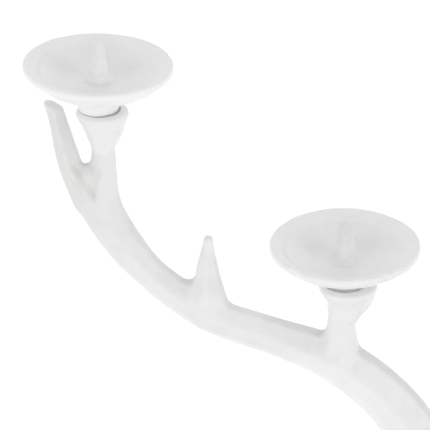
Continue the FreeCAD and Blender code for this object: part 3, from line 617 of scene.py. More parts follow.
def trace(start, angle, strokes, step):
    """Follow strokes from a start and a slope: a run (length,) or a bend (radius, last slope)."""
    x, z = start
    rows = [(x, z, angle)]
    for stroke in strokes:
        reach = abs(stroke[0]) if len(stroke) == 1 else abs(stroke[0] * (stroke[1] - angle))
        for part in np.linspace(0, 1, max(2, math.ceil(reach / step)) + 1)[1:]:
            if len(stroke) == 1:
                rows.append((x + reach * part * math.cos(angle), z + reach * part * math.sin(angle), angle))
            else:
                now = angle + (stroke[1] - angle) * part
                rows.append((x + stroke[0] * (math.sin(now) - math.sin(angle)),
                             z + stroke[0] * (math.cos(angle) - math.cos(now)), now))
        x, z, angle = rows[-1]
    return np.array(rows)


def facet_reach(up, side, section):
    """Reach of a section's skin in each direction: flat facets with soft edges between them."""
    total = 0
    for slope_degrees, distance in section:
        lean = math.radians(slope_degrees)
        facing = (up * math.sin(lean) + np.abs(side) * math.cos(lean)) / distance
        total = total + np.maximum(facing, 0) ** EDGE_SHARPNESS
    return total ** (-1 / EDGE_SHARPNESS)


class Limb:
    """A limb of the antler: a centre line in the arm's plane, and its width and depth along it."""

    def __init__(self, line, widths, section, aside=0.0, low=-1.0, high=1.0, drift=None, cut=None):
        x, z, angle = line.T
        steps = np.hypot(np.diff(x), np.diff(z))
        self.reach = np.concatenate(([0], np.cumsum(steps)))
        along = self.reach / self.reach[-1]
        shares, across = np.array(widths).T
        half = np.interp(along, shares, across) / 2
        soft = np.hanning(2 * SOFT_SPOTS + 3)[1:-1]
        half = np.convolve(np.pad(half, SOFT_SPOTS, mode="edge"), soft / soft.sum(), mode="valid")
        self.spots = np.stack([x, aside * along ** 2, z], axis=1)
        self.way = np.stack([np.cos(angle), 0 * angle, np.sin(angle)], axis=1)
        self.rise = np.stack([-np.sin(angle), 0 * angle, np.cos(angle)], axis=1)
        if drift:
            self.spots -= self.rise * drift(along)[:, None]
        self.half = half
        self.taper = np.gradient(half, self.reach)
        self.section = section
        self.low, self.high = low, high
        self.cut = cut
        self.rounded = high == 1.0 and not cut

    def nearest(self, places):
        """Index of the nearest spot of the centre line to each place."""
        found = []
        for some in np.array_split(places, max(1, len(places) // PLACES_AT_ONCE)):
            gaps = ((some[:, None] - self.spots[None]) ** 2).sum(axis=2)
            found.append(gaps.argmin(axis=1))
        return np.concatenate(found)

    def round_about(self, places):
        """Nearest spot of each place, and how far it lies ahead of, above, beside and past that spot."""
        index = self.nearest(places)
        offset = places - self.spots[index]
        ahead = (offset * self.way[index]).sum(axis=1)
        past = np.where(index == len(self.spots) - 1, np.maximum(ahead, 0), 0)
        past = np.where(index == 0, np.minimum(ahead, 0), past)
        return index, ahead - past, (offset * self.rise[index]).sum(axis=1), offset[:, 1], past

    def gap(self, places):
        """How far each place lies outside the limb's skin."""
        index, ahead, up, side, past = self.round_about(places)
        radius = np.sqrt(up ** 2 + side ** 2) + TINY
        half = self.half[index] + self.taper[index] * ahead
        skin = np.hypot(radius, past) - half * facet_reach(up / radius, side / radius, self.section)
        if self.cut:
            spot, facing = self.cut
            skin = -blend_gaps(-skin, -((places[:, [0, 2]] - spot) @ facing), CUT_ROUND)
        return np.maximum(np.maximum(skin, self.low - places[:, 2]), places[:, 2] - self.high)

    def trim(self, place, way):
        """Draw a place that lies past the cut back on to it along the limb."""
        if not self.cut:
            return place
        spot, facing = self.cut
        past = max(0, (place[[0, 2]] - spot) @ facing)
        return place - way * past / (way[[0, 2]] @ facing)

    def rough_tube(self, work, sides=16):
        """Add a plain tube along the limb, to be meshed afresh."""
        rings = []
        stations = list(zip(self.spots, self.way, self.rise, self.half))
        if self.rounded:
            spot, way, rise, half = stations[-1]
            stations.append((spot + way * half * END_ROUND, way, rise, half * END_ROUND))
        for spot, way, rise, half in stations:
            ring = []
            for side in angles_round(sides):
                offset = rise * math.cos(side) + np.array((0, ROUGH_DEPTH, 0)) * math.sin(side)
                ring.append(work.verts.new(self.trim(spot + offset * half, way)))
            rings.append(ring)
        for first, last in zip(rings, rings[1:]):
            for k in range(sides):
                work.faces.new((first[k], first[(k + 1) % sides], last[(k + 1) % sides], last[k]))
        work.faces.new(rings[0][::-1])
        work.faces.new(rings[-1])


def blend_gaps(first, last, reach):
    """The smaller of two gaps, melted together over a reach as in a casting's fillet."""
    lean = np.clip(0.5 + 0.5 * (last - first) / reach, 0, 1)
    return last + (first - last) * lean - reach * lean * (1 - lean)


def beam_strokes(sizes):
    """The beam's bends and runs, from the burr to the end of the outer stub."""
    return [
        (-sizes.root_bend, sizes.run_slope),
        (sizes.run_length,),
        (sizes.rise_bend, sizes.rise_slope),
        (sizes.neck_bend, sizes.neck_slope),
        (sizes.stub_length + sizes.seat_reach,),
    ]


def follow_beam(sizes, *strokes):
    return trace((sizes.burr_circle, 0), sizes.root_slope, strokes, SPOT_STEP)


def beam_limb(sizes):
    """The beam, from the burr on the plate to the outer stub."""
    strokes = beam_strokes(sizes)
    line = follow_beam(sizes, *strokes)
    ends = [follow_beam(sizes, *strokes[:count])[-1] for count in range(1, len(strokes) + 1)]
    reach = np.concatenate(([0], np.cumsum(np.hypot(*np.diff(line[:, :2], axis=0).T))))
    marks = [0] + [reach[np.abs(line - end).sum(axis=1).argmin()] for end in ends]

    def at(stroke, part):
        return between(marks[stroke], marks[stroke + 1], part) / reach[-1]

    fork, neck = sizes.fork, sizes.neck
    widths = [
        (0, sizes.burr),
        (at(0, 0.045), sizes.burr),
        (at(0, 0.1), sizes.root),
        (at(0, 0.3), sizes.root),
        (at(0, 0.55), between(sizes.root, sizes.shoulder, 0.55)),
        (at(0, 0.82), sizes.shoulder),
        (at(1, 0), between(sizes.shoulder, sizes.waist, 0.6)),
        (at(1, 0.5), between(sizes.shoulder, sizes.waist, 0.97)),
        (at(2, 0), sizes.waist),
        (at(2, 0.5), between(sizes.waist, sizes.elbow, 0.4)),
        (at(3, 0), sizes.elbow),
        (at(3, 0.25), fork),
        (at(3, 0.5), between(fork, neck, 0.3)),
        (at(3, 0.75), between(fork, neck, 0.6)),
        (at(4, 0), between(fork, neck, 0.85)),
        (1, neck),
    ]

    def sag(along):
        return sizes.run_sag * hump(along, RUN_MIDDLE, RUN_SPREAD)

    return Limb(line, widths, BEAM_SECTION, low=0.0, high=line[-1][1], drift=sag)


def stem_limb(sizes):
    """The inner stem, upright on the beam's first bend."""
    foot = follow_beam(sizes, (-sizes.root_bend, sizes.stem_slope))[-1]
    foot = foot[:2] + (-sizes.stem_set_in, -sizes.stem_sink)
    height = sizes.stem_sink + sizes.stem_height + sizes.seat_reach
    line = trace(foot, math.pi / 2, [(height,)], SPOT_STEP)
    root, top = sizes.stem_root, sizes.stem_neck
    widths = [
        (0, 0.5 * root), (0.2, root), (0.45, root), (0.6, between(root, top, 0.6)),
        (0.76, between(root, top, 0.9)), (0.9, top), (1, top),
    ]
    return Limb(line, widths, STEM_SECTION, high=line[-1][1])


def tine_limb(sizes):
    """The pointed middle tine, slightly bowed."""
    foot = follow_beam(sizes, *beam_strokes(sizes)[:2], (sizes.rise_bend, sizes.tine_slope))[-1]
    foot = foot[:2] - (sizes.tine_set_in, 0)
    reach = sizes.tine_length - sizes.tine_tip / 2
    upright, bow = math.pi / 2 - sizes.tine_lean, reach / sizes.tine_bow / 2
    line = trace(foot, upright - bow, [(sizes.tine_bow, upright + bow)], SPOT_STEP)
    root, tip = sizes.tine_root, sizes.tine_tip
    widths = [
        (0, 0.4 * root), (0.2, root), (0.36, between(root, tip, 0.34)), (0.55, between(root, tip, 0.5)),
        (0.78, between(root, tip, 0.72)), (0.93, between(root, tip, 0.97)), (1, 0.85 * tip),
    ]
    return Limb(line, widths, TINE_SECTION)


def outer_limb(sizes):
    """The blunt outer tine, which leaves the beam at the fork and leans aside."""
    leaving = (sizes.neck_bend, sizes.outer_tine_slope)
    foot = follow_beam(sizes, *beam_strokes(sizes)[:3], leaving)[-1][:2]
    bend = (sizes.outer_tine_bend, sizes.outer_tine_last)
    line = trace(foot, sizes.outer_tine_first, [bend], SPOT_STEP)
    root, tip = sizes.outer_tine_root, sizes.outer_tine_tip
    widths = [
        (0, 0.4 * root), (0.2, 0.92 * root), (0.38, 0.92 * root), (0.5, between(root, tip, 0.36)),
        (0.65, between(root, tip, 0.56)), (0.8, between(root, tip, 0.8)), (0.9, 0.97 * tip), (1, tip),
    ]
    end = line[-1][:2] - (0, sizes.tip_loss)
    facing = np.array((-math.sin(sizes.tip_slant), math.cos(sizes.tip_slant)))

    def sway(along):
        tuck = sizes.outer_tine_tuck * hump(along, TUCK_MIDDLE, TUCK_SPREAD)
        return sizes.outer_tine_sway * np.sin(math.tau * along ** 2) - tuck

    return Limb(line, widths, TINE_SECTION, aside=-sizes.outer_tine_aside, drift=sway, cut=(end, facing))


def web_limb(sizes):
    """The web that fills the foot of the fork."""
    x, z = follow_beam(sizes, *beam_strokes(sizes))[-1][:2]
    foot = (x + sizes.web_set_out, z - sizes.seat_reach - sizes.web_drop - sizes.web_height)
    line = trace(foot, math.pi / 2, [(sizes.web_height,)], SPOT_STEP)
    return Limb(line, [(0, sizes.web_root), (1, sizes.web_top)], TINE_SECTION)


def fork_hollow(places, stub_top):
    """Depth of the fork's sunk web, a wedge that opens upward, with a ridge along either side."""
    flat = places[:, [0, 2]] - stub_top - FORK_HOLLOW_FOOT
    weight = np.clip((FORK_HOLLOW_TOP - flat[:, 1]) / FORK_HOLLOW_FADE, 0, 1)
    ridges = 0
    for side, corner in ((-1, FORK_HOLLOW_INSIDE), (1, FORK_HOLLOW_OUTSIDE)):
        way = corner - FORK_HOLLOW_FOOT
        across = side * np.array((-way[1], way[0])) / np.linalg.norm(way)
        inside = flat @ across
        weight *= np.clip(inside / FORK_HOLLOW_EDGE, 0, 1)
        along = flat @ way / (way @ way) * FORK_RIDGE_FADES
        ridge = hump(inside, 0, FORK_RIDGE_WIDTH) * np.clip(along, 0, 1)
        ridges = ridges + ridge * np.clip(FORK_RIDGE_FADES - along, 0, 1)
    return FORK_HOLLOW_DEPTH * weight - FORK_RIDGE_HEIGHT * ridges


def antler_gap(limbs, places):
    """How far each place lies outside the whole antler, its limbs melted together."""
    beam, stem, tine, outer, web = limbs
    gap = blend_gaps(beam.gap(places), stem.gap(places), STEM_MELT)
    gap = blend_gaps(gap, tine.gap(places), TINE_MELT)
    fork = blend_gaps(outer.gap(places), web.gap(places), FORK_MELT)
    gap = blend_gaps(gap, fork, ROOT_MELT)
    return gap + fork_hollow(places, beam.spots[-1][[0, 2]])


def antler_grain(limbs, places):
    """Height of the casting's lumps, pits, streaks and pearls above the plain skin."""
    gaps = np.stack([limb.gap(places) for limb in limbs])
    owner = gaps.argmin(axis=0)
    height = LUMP_HEIGHT * grain(places, LUMP_SIZE) + PIT_HEIGHT * grain(places, PIT_SIZE, 3.0)
    for number, limb in enumerate(limbs):
        mine = owner == number
        index, ahead, up, side = limb.round_about(places[mine])[:4]
        turn = np.arctan2(side, up)
        along = (limb.reach[index] + ahead) / STREAK_LENGTH
        drawn = np.stack([np.cos(turn) * STREAKS_ROUND, np.sin(turn) * STREAKS_ROUND, along], axis=1)
        streaks = grain(drawn, 1.0, number * 5.0) + 0.5 * grain(drawn * (2.1, 2.1, 1.4), 1.0, 9.0 + number)
        height[mine] += STREAK_HEIGHT * streaks
        if number == 0:
            near_burr = hump(limb.reach[index], 0, PEARL_REACH)
            pearls = np.maximum(grain(places[mine], PEARL_SIZE, 7.0), -0.2)
            height[mine] += PEARL_HEIGHT * near_burr * pearls
    return height


def grid_skin(mesh, voxel):
    """The mesh made afresh on a fine grid, as one closed skin."""
    rough = bpy.data.objects.new("rough_antler", mesh)
    bpy.context.scene.collection.objects.link(rough)
    remesh = rough.modifiers.new("Grid", "REMESH")
    remesh.mode = "VOXEL"
    remesh.voxel_size = voxel
    bpy.context.view_layer.update()
    ready = rough.evaluated_get(bpy.context.evaluated_depsgraph_get())
    skin = bpy.data.meshes.new_from_object(ready)
    bpy.data.objects.remove(rough)
    bpy.data.meshes.remove(mesh)
    skin.name = "antler"
    return skin


def draw_on(skin, limbs, tries, stray):
    """Draw a skin on to the blended form, smoothed on the way; strays follow their neighbours."""
    for left in range(tries, 0, -1):
        places = places_of(skin)
        if left > SMOOTH_ABOVE:
            places = 0.5 * places + 0.5 * neighbour_mean(skin, places)
            move_places(skin, places)
        gap = antler_gap(limbs, places)
        if left <= tries - TRIES_WITH_STRAYS:
            gap[np.abs(gap) > stray] = 0
        shift = normals_of(skin) * (gap * -DRAW_SHARE)[:, None]
        if left > EVEN_ABOVE:
            shift = neighbour_mean(skin, neighbour_mean(skin, shift))
        move_places(skin, places + shift)
        if left in FOLDS_AT:
            relax_folds(skin, FOLD_ANGLE, FOLD_ROUNDS)


def antler_shade(skin, places, outer_end, sizes):
    """Painted shade at each vertex: outward, on what faces up, below, beside the stem and along the root's
    ridge.
    """
    normals = normals_of(skin)
    facing_up = normals[:, 2]
    x, z = places[:, 0], places[:, 2]
    outward = grow(np.hypot(x, places[:, 1]), sizes.shade_start, sizes.shade_reach)
    rising = grow(z, sizes.shade_level, sizes.shade_rise)
    up_shade = np.clip(facing_up * 1.15 - 0.15, 0, 1) ** 0.8
    up_shade *= np.clip((outer_end - z) / sizes.unshaded_tip, 0, 1)
    shading = grow(x, sizes.shade_below_start, sizes.shade_rise) * hump(facing_up, SHADE_BELOW_FACING, SHADE_BELOW_SPREAD)
    beside_stem = hump(x, STEM_SHADE_PLACE, STEM_SHADE_REACH) * np.clip(0.3 + facing_up, 0, 1)
    on_root = np.clip((ROOT_SHADE_END - x) / STEM_SHADE_REACH, 0, 1) * (1 - rising)
    painted_shade = MOST_SHADE * outward ** 2
    painted_shade += up_shade * (LEAST_SHADE_ON_TOP + SHADE_ON_TOP * rising)
    painted_shade += SHADE_BELOW * shading * (1 - outward)
    painted_shade += SHADE_BY_STEM * beside_stem
    painted_shade += SHADE_ON_ROOT * on_root * grow(normals @ ROOT_RIDGE, RIDGE_EDGE, EDGE_FADE)
    painted_shade += SHADE_HUBWARD * rising * grow(normals @ HUBWARD, HUBWARD_EDGE, EDGE_FADE)
    for step in range(SHADE_ROUNDS):
        painted_shade = neighbour_mean(skin, painted_shade)
    return np.minimum(painted_shade, MOST_SHADE)


def antler_mesh(sizes):
    """One antler's skin: rough tubes joined on a fine grid, then drawn on to the blended form."""
    limbs = [make(sizes) for make in (beam_limb, stem_limb, tine_limb, outer_limb, web_limb)]
    beam, stem, outer = limbs[0], limbs[1], limbs[3]
    work = bmesh.new()
    for limb in limbs:
        limb.rough_tube(work)
    skin = bpy.data.meshes.new("antler")
    work.to_mesh(skin)
    work.free()
    for tries in DRAWS:
        skin = grid_skin(skin, sizes.voxel)
        draw_on(skin, limbs, tries, sizes.stray)
    places = places_of(skin)
    z = places[:, 2]
    ends = np.minimum(np.abs(z - beam.high), np.abs(z - stem.high))
    height = antler_grain(limbs, places) * np.clip(np.minimum(ends, z) / END_CLEAR, 0, 1)
    move_places(skin, places + normals_of(skin) * height[:, None])
    skin.shade_smooth()
    # The hollows get painted shade and the crests a painted highlight; the painted shade over the whole skin
    # is stored beside them.
    mark_hollows(skin, ANTLER_DIP, ANTLER_DIP_ROUNDS)
    outer_end = outer.cut[0][1]
    store(skin, "painted_shade", antler_shade(skin, places, outer_end, sizes))
    return skin


class CHANDELIER_OT_antlers(bpy.types.Operator):
    """Cast the four antlers with their burr, stem and tines"""

    bl_idname = "chandelier.antlers"
    bl_label = "Antlers"

    def execute(self, context):
        mesh = antler_mesh(context.scene.chandelier_antler)
        enamel = cast_enamel("antler_enamel", 70.0, 0.32)
        put_on_arms("antler", mesh, 0, PLATE_TOP, enamel, "antler_enamel")
        return {"FINISHED"}


# Cups

CAST_STEP = 0.9 * MM
CAST_DIP = 0.3 * MM
PLAIN_FOOT = 0.6 * MM
CUP_COLUMNS = 112
CUP_ROUGH, CUP_ROUGH_SIZE = 0.16 * MM, 7 * MM
# Lobes round a cup: how many, how high, and how many times its seed turns them
CUP_LOBES = ((5, 0.45 * MM, 1), (3, 0.3 * MM, -2))
LEAST_ACROSS = 6 * MM
GROOVE_DEPTH = 1.6 * MM
SEAT_CLEAR = 0.1 * MM
# Each cup's dust is a share of painted shade over the whole cup, more on the outer cup than the inner.
CUPS = {
    "outer": SimpleNamespace(
        neck=7.65 * MM, belly=12.75 * MM, lip=17.7 * MM, recess=13.5 * MM, boss=12.7 * MM,
        foot_shift=-2.6 * MM, belly_shift=-3.5 * MM, lip_shift=-2.4 * MM, recess_shift=-1 * MM,
        flank=0.45, slim=1.3 * MM, skirt=7 * MM, lug=0, dust_and_shade=0.6, seed=0.7,
    ),
    "inner": SimpleNamespace(
        neck=8.7 * MM, belly=15.1 * MM, lip=19.9 * MM, recess=14.3 * MM, boss=11.5 * MM,
        foot_shift=1.3 * MM, belly_shift=-3.1 * MM, lip_shift=-2.4 * MM, recess_shift=0,
        flank=0.66, slim=3.2 * MM, skirt=13 * MM, lug=5.6 * MM, dust_and_shade=0.1, seed=2.1,
    ),
}


def cup_rows(cup, height, bend):
    """Outline of a cup from its skirt to its seat: radius, height, shift, slimming and lug."""
    neck, belly, lip, recess, boss = cup.neck, cup.belly, cup.lip, cup.recess, cup.boss
    skirt, slim, lug = cup.skirt, cup.slim, cup.lug
    foot_shift, lip_shift, recess_shift = cup.foot_shift, cup.lip_shift, cup.recess_shift
    flank_shift = between(foot_shift, cup.belly_shift, cup.flank)
    flare = height - bend
    groove, seat = height - GROOVE_DEPTH, height - SEAT_CLEAR
    return smooth_line([
        (0, -skirt, foot_shift, 0, 0),
        (0, -skirt, foot_shift, 0, 0),
        (neck - 3 * MM, -skirt, foot_shift, 0, 0),
        (neck - 3 * MM, -skirt, foot_shift, 0, 0),
        (neck - 1.7 * MM, -0.6 * skirt, foot_shift, 0, 0.4 * lug),
        (neck - 0.8 * MM, -0.28 * skirt, foot_shift, 0, 0.72 * lug),
        (neck + 0.2 * MM, 0.06 * skirt, foot_shift, 0, lug),
        (between(neck, belly, cup.flank), flare * 0.25, flank_shift, 0.8 * slim, 0.37 * lug),
        (belly, flare * 0.5, cup.belly_shift, slim, 0.1 * lug),
        (lip - 0.7 * MM, height - bend * 1.25, lip_shift, 0.6 * slim, 0),
        (lip, height - bend * 0.62, lip_shift, 0.5 * slim, 0),
        (lip - 0.9 * MM, height - 1.2 * MM, lip_shift, 0.5 * slim, 0),
        (recess + 0.9 * MM, seat, 0.4 * lip_shift, 0.2 * slim, 0),
        (recess, height - 0.5 * MM, recess_shift, 0, 0),
        (recess, groove, recess_shift, 0, 0),
        (recess, groove, recess_shift, 0, 0),
        (boss, groove, 0, 0, 0),
        (boss, groove, 0, 0, 0),
        (boss, seat, 0, 0, 0),
        (boss, seat, 0, 0, 0),
        (0, seat, 0, 0, 0),
    ], CAST_STEP)


def cup_mesh(seat, bend):
    """A flared cup that leans from its stub to under the pan, with a groove round the pan's foot."""
    cup = CUPS[seat]
    low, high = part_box(seat + "_cup_1")
    height = high.z - low.z
    rows = cup_rows(cup, height, bend)
    around = angles_round(CUP_COLUMNS)
    places = turned_places(rows[:, :2], CUP_COLUMNS)
    swell = np.sin(np.clip(rows[:, 1:2] / height, 0, 1) * math.pi)
    lobes = sum(rise * np.cos(count * around + turn * cup.seed) for count, rise, turn in CUP_LOBES)
    hubward = np.clip(-np.cos(around), 0, 1) ** 2
    across = np.maximum(rows[:, :1], LEAST_ACROSS)
    places[..., :2] *= (1 + (lobes * swell + rows[:, 4:] * hubward) / across)[..., None]
    places[..., 1] *= 1 - rows[:, 3:4] / across
    places[..., 0] += rows[:, 2:3]
    mesh = ring_mesh(seat + "_cup", places, False)
    roughen(mesh, CUP_ROUGH, CUP_ROUGH_SIZE, cup.seed, PLAIN_FOOT, height)
    mark_hollows(mesh, CAST_DIP)
    # Painted shade: the whole cup is darkened by its fixed share.
    store(mesh, "painted_shade", np.full(len(mesh.vertices), cup.dust_and_shade))
    return mesh


class CHANDELIER_OT_cups(bpy.types.Operator):
    """Make the flared cups that carry the candle pans"""

    bl_idname = "chandelier.cups"
    bl_label = "Cups"

    def execute(self, context):
        bend = context.scene.chandelier_seats.cup_lip
        enamel = cast_enamel("cup_enamel", 120.0, 0.3)
        for seat in SEATS:
            axis = seat_axis(seat)[0]
            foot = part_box(seat + "_cup_1")[0].z
            put_on_arms(seat + "_cup", cup_mesh(seat, bend), axis, foot, enamel, "cup_enamel")
        return {"FINISHED"}


# Pans

PAN_COLUMNS = 150
PAN_ROUGH, PAN_ROUGH_SIZE, PAN_DIP = 0.14 * MM, 9 * MM, 0.35 * MM
HOLE_CLEAR, RIM_INSET, UNDER_STEPS = 0.3 * MM, 0.2 * MM, 12
# Inside of a dish: share of the rim's radius, and share of the depth below the rim
DISH = ((0.9, 0.1), (0.8, 0.235), (0.72, 0.4), (0.6, 0.62), (0.48, 0.81), (0.36, 0.94), (0.28, 0.985))
CREASE, CREASE_DEPTH, CREASE_WIDTH, CREASE_TURN = 0.8, 0.9 * MM, 1.7 * MM, math.radians(68)
CREASE_FADE = 0.4
RIM_WAVE, RIM_DIP = 0.4 * MM, 0.45 * MM
CHIP_BITE, CHIP_WIDTH = 0.4, 0.045
CHIP_SINK, CHIP_SINK_WIDTH, CHIP_LAG = 0.6, 0.04, 2
TILT_START, TILT_REACH = 10 * MM, 20 * MM
# Painted shade in the dish: its strength, its size, and how far up a face must turn to take it.
PAN_SHADE, PAN_SHADE_SIZE, PAN_SHADE_FACING = 0.8, 11 * MM, 0.5
# In millimetres and degrees: foot outline (radius, share of height), chips (turn, depth),
# runs of enamel (x, y, length, width, height) and patches of painted shade (x, y)
PANS = {
    "outer": SimpleNamespace(
        foot=((13.2, 0), (13.7, 0.1), (14.4, 0.4), (15.2, 0.75), (16.2, 1)),
        bowl=21.5 * MM, rim_spread=0.0, tilt_way=(1, 0), foot_lift=(-0.7 * MM, 0.2 * MM), seed=11.0,
        chips=((205, 0.8),), runs=(), shade_spots=((26, -12), (-14, -15), (4, -33)),
    ),
    "inner": SimpleNamespace(
        foot=((12.0, 0), (12.5, 0.2), (15.0, 0.6), (17.6, 1)),
        bowl=19.5 * MM, rim_spread=0.8 * MM, tilt_way=(0, -1), foot_lift=(0, 0.7 * MM), seed=18.0,
        chips=((50, 1.2), (126, 1.5)), runs=((2, -39, 6, 1.5, 2),), shade_spots=((21, -12), (-15, -18)),
    ),
}


def pan_rows(pan, sizes, edge, rim_z):
    """Outline of a pan: out from the hole under foot and bowl, over the rim and back down the dish."""
    hole, half = sizes.shank / 2 + HOLE_CLEAR, sizes.rim / 2
    floor_z = rim_z - sizes.pan_depth
    foot = [(radius * MM, part * (rim_z - pan.bowl)) for radius, part in pan.foot]
    rim_foot = (edge - RIM_INSET, rim_z - sizes.rim_edge)
    return smooth_line([
        (hole, 0), (hole, 0), foot[0], foot[0],
        *foot,
        *arc_line(foot[-1], rim_foot, sizes.under_bend, UNDER_STEPS),
        rim_foot,
        (edge, rim_z - half), (edge - 0.15 * half, rim_z - 0.4 * half),
        (edge - 0.6 * half, rim_z), (edge - 1.4 * half, rim_z - 0.3 * half),
        *[(part * edge, rim_z - drop * sizes.pan_depth) for part, drop in DISH],
        (sizes.pan_floor / 2, floor_z), (hole, floor_z), (hole, floor_z),
        (hole, floor_z / 2),
    ], CAST_STEP)


def rim_wear(pan, around):
    """How far a pan's rim waves outward and upward at each angle, chips included."""
    ring = np.stack([np.cos(around), np.sin(around), 0 * around], axis=1)
    wave = grain(ring, 0.8, pan.seed) + 0.5 * grain(ring, 0.3, pan.seed + 3)
    dip = grain(ring, 0.6, pan.seed + 6) + 0.6 * grain(ring, 0.22, pan.seed + 8)
    for degrees, depth in pan.chips:
        wave -= depth / CHIP_BITE * hump(around, math.radians(degrees), CHIP_WIDTH)
        dip += depth / CHIP_SINK * hump(around, math.radians(degrees + CHIP_LAG), CHIP_SINK_WIDTH)
    return wave, dip


def pan_mesh(seat, sizes, tilt):
    """A dished pan on a round foot: uneven rim, crease under the rim, flat floor round the spike."""
    pan = PANS[seat]
    low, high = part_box(seat + "_pan_1")
    rim_z = high.z - low.z
    foot, foot_z = pan.foot[-1][0] * MM, rim_z - pan.bowl
    edge = sizes.pan / 2 + pan.rim_spread
    rows = pan_rows(pan, sizes, edge, rim_z)
    radius, level = rows[:, :1], rows[:, 1:2]
    upper = np.arange(len(rows))[:, None] > rows[:, 1].argmax()
    around = angles_round(PAN_COLUMNS)
    places = turned_places(rows, PAN_COLUMNS)
    wave, dip = rim_wear(pan, around)
    out = grow(radius, foot, edge - foot) ** 3
    places[..., :2] *= (1 + RIM_WAVE * wave * out / edge)[..., None]
    places[..., 2] += RIM_DIP * dip * out
    lift = grow(radius, TILT_START, TILT_REACH) * (level > foot_z / 2)
    places[..., 2] += math.tan(tilt) * (places[..., :2] @ np.array(pan.tilt_way)) * lift
    crease = hump(radius, CREASE * edge, CREASE_WIDTH) * upper
    places[..., 2] -= CREASE_DEPTH * crease * np.clip(np.cos(around - CREASE_TURN) + CREASE_FADE, 0, 1)
    for x, y, long, wide, height in pan.runs:
        away = ((places[..., 0] / MM - x) / long) ** 2 + ((places[..., 1] / MM - y) / wide) ** 2
        places[..., 2] += height * MM * np.exp(-away) * upper
    lifted = np.clip(places[..., :2] @ np.array(pan.foot_lift) / foot, 0, 1)
    places[..., 2] += lifted * np.clip(1 - level / foot_z, 0, 1)
    mesh = ring_mesh(seat + "_pan", places, True)
    roughen(mesh, PAN_ROUGH, PAN_ROUGH_SIZE, pan.seed, PLAIN_FOOT)
    mark_hollows(mesh, PAN_DIP)
    # Painted shade: darker patches on the up-facing dish around the spike.
    flat = places_of(mesh)[:, :2]
    gaps = [np.linalg.norm(flat - np.array(spot) * MM, axis=1) for spot in pan.shade_spots]
    shade_spots = sum(hump(gap, 0, PAN_SHADE_SIZE) for gap in gaps)
    store(mesh, "painted_shade", PAN_SHADE * shade_spots * (normals_of(mesh)[:, 2] > PAN_SHADE_FACING))
    return mesh


class CHANDELIER_OT_pans(bpy.types.Operator):
    """Make the candle pans, which turn on their spikes"""

    bl_idname = "chandelier.pans"
    bl_label = "Candle pans"

    def execute(self, context):
        sizes = context.scene.chandelier_seats
        enamel = cast_enamel("pan_enamel", 110.0, 0.26, 0.07)
        tilts = {"outer": sizes.outer_tilt, "inner": sizes.inner_tilt}
        for seat in SEATS:
            mesh = pan_mesh(seat, sizes, tilts[seat])
            axis, level = seat_axis(seat)
            put_on_arms(seat + "_pan", mesh, axis, level, enamel, "pan_enamel", turns=True)
        return {"FINISHED"}


# Spikes

SPIKE_STEP = 0.8 * MM
SPIKE_COLUMNS = 72
SPIKE_SEAT = 0.05 * MM
SPIKE_ROUGH, SPIKE_ROUGH_SIZE, SPIKE_DIP_SHARE = 0.16 * MM, 5 * MM, 0.35
FACET_RISE, FACET_DEPTH, FACET_TURN, BULGE_DEPTH = 4 * MM, 0.12, 0.4, 0.03
# Painted shade on the spikes, darker toward the tip, and a painted shadow on the front of the foot where it
# meets the dish.
TIP_SHADE, TIP_SHADE_RISE, TIP_SHADE_START = 1.6, 15 * MM, 0.7
FOOT_SHADOW_FRONT, FOOT_SHADOW_HEIGHT = 5 * MM, 1.2 * MM
# Outlines in millimetres: radius, and height above the dish's floor
SPIKES = {
    "outer": SimpleNamespace(
        outline=(
            (10.4, 0.05), (9, 0.3), (7.8, 1.1), (7, 2.6), (6.4, 4.6), (5.8, 8), (5.4, 12), (5.05, 16),
            (4.7, 20), (4.2, 23.4), (3.4, 26.2), (2.2, 28.4), (1.1, 29.3), (0, 29.5),
        ),
        dust_and_shade=0.1, foot_shadow=1.2, seed=1.3,
    ),
    "inner": SimpleNamespace(
        outline=(
            (10.4, 0.05), (9.2, 0.3), (8.3, 1.1), (7.5, 3), (6.8, 7), (6.0, 12), (5.3, 16.5), (4.5, 21.5),
            (3.5, 25.4), (2.4, 28), (1.2, 29.3), (0, 29.5),
        ),
        dust_and_shade=0.7, foot_shadow=0, seed=2.6,
    ),
}


def spike_mesh(seat, shank):
    """A cast spike on a flared foot, with its shank down through the pan into the cup."""
    spike = SPIKES[seat]
    low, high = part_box(seat + "_pricket_1")
    floor = high.z - low.z - spike.outline[-1][1] * MM
    neck = (shank, floor + SPIKE_SEAT)
    points = [(0, 0), (0, 0), (shank, 0), (shank, 0), neck, neck]
    points += [(radius * MM, floor + level * MM) for radius, level in spike.outline]
    rows = smooth_line(points, SPIKE_STEP)
    around = angles_round(SPIKE_COLUMNS)
    places = turned_places(rows, SPIKE_COLUMNS)
    facets = FACET_DEPTH * np.cos(4 * around + FACET_TURN) + BULGE_DEPTH * np.cos(3 * around + spike.seed)
    places[..., :2] *= (1 + facets * grow(rows[:, 1:2], floor, FACET_RISE))[..., None]
    mesh = ring_mesh(seat + "_spike", places, False)
    roughen(mesh, SPIKE_ROUGH, SPIKE_ROUGH_SIZE, spike.seed, floor)
    mark_hollows(mesh, CAST_DIP, share=SPIKE_DIP_SHARE)
    y, z = places_of(mesh)[:, 1:].T
    # Painted shade: a fixed share over the spike, more toward the tip, and a painted shadow at the front of
    # its foot.
    tip_shade = TIP_SHADE * np.clip((z - floor) / TIP_SHADE_RISE - TIP_SHADE_START, 0, 1)
    foot_shadow = spike.foot_shadow * grow(y, 0, FOOT_SHADOW_FRONT) * hump(z, floor, FOOT_SHADOW_HEIGHT)
    store(mesh, "painted_shade", spike.dust_and_shade + tip_shade + foot_shadow)
    return mesh


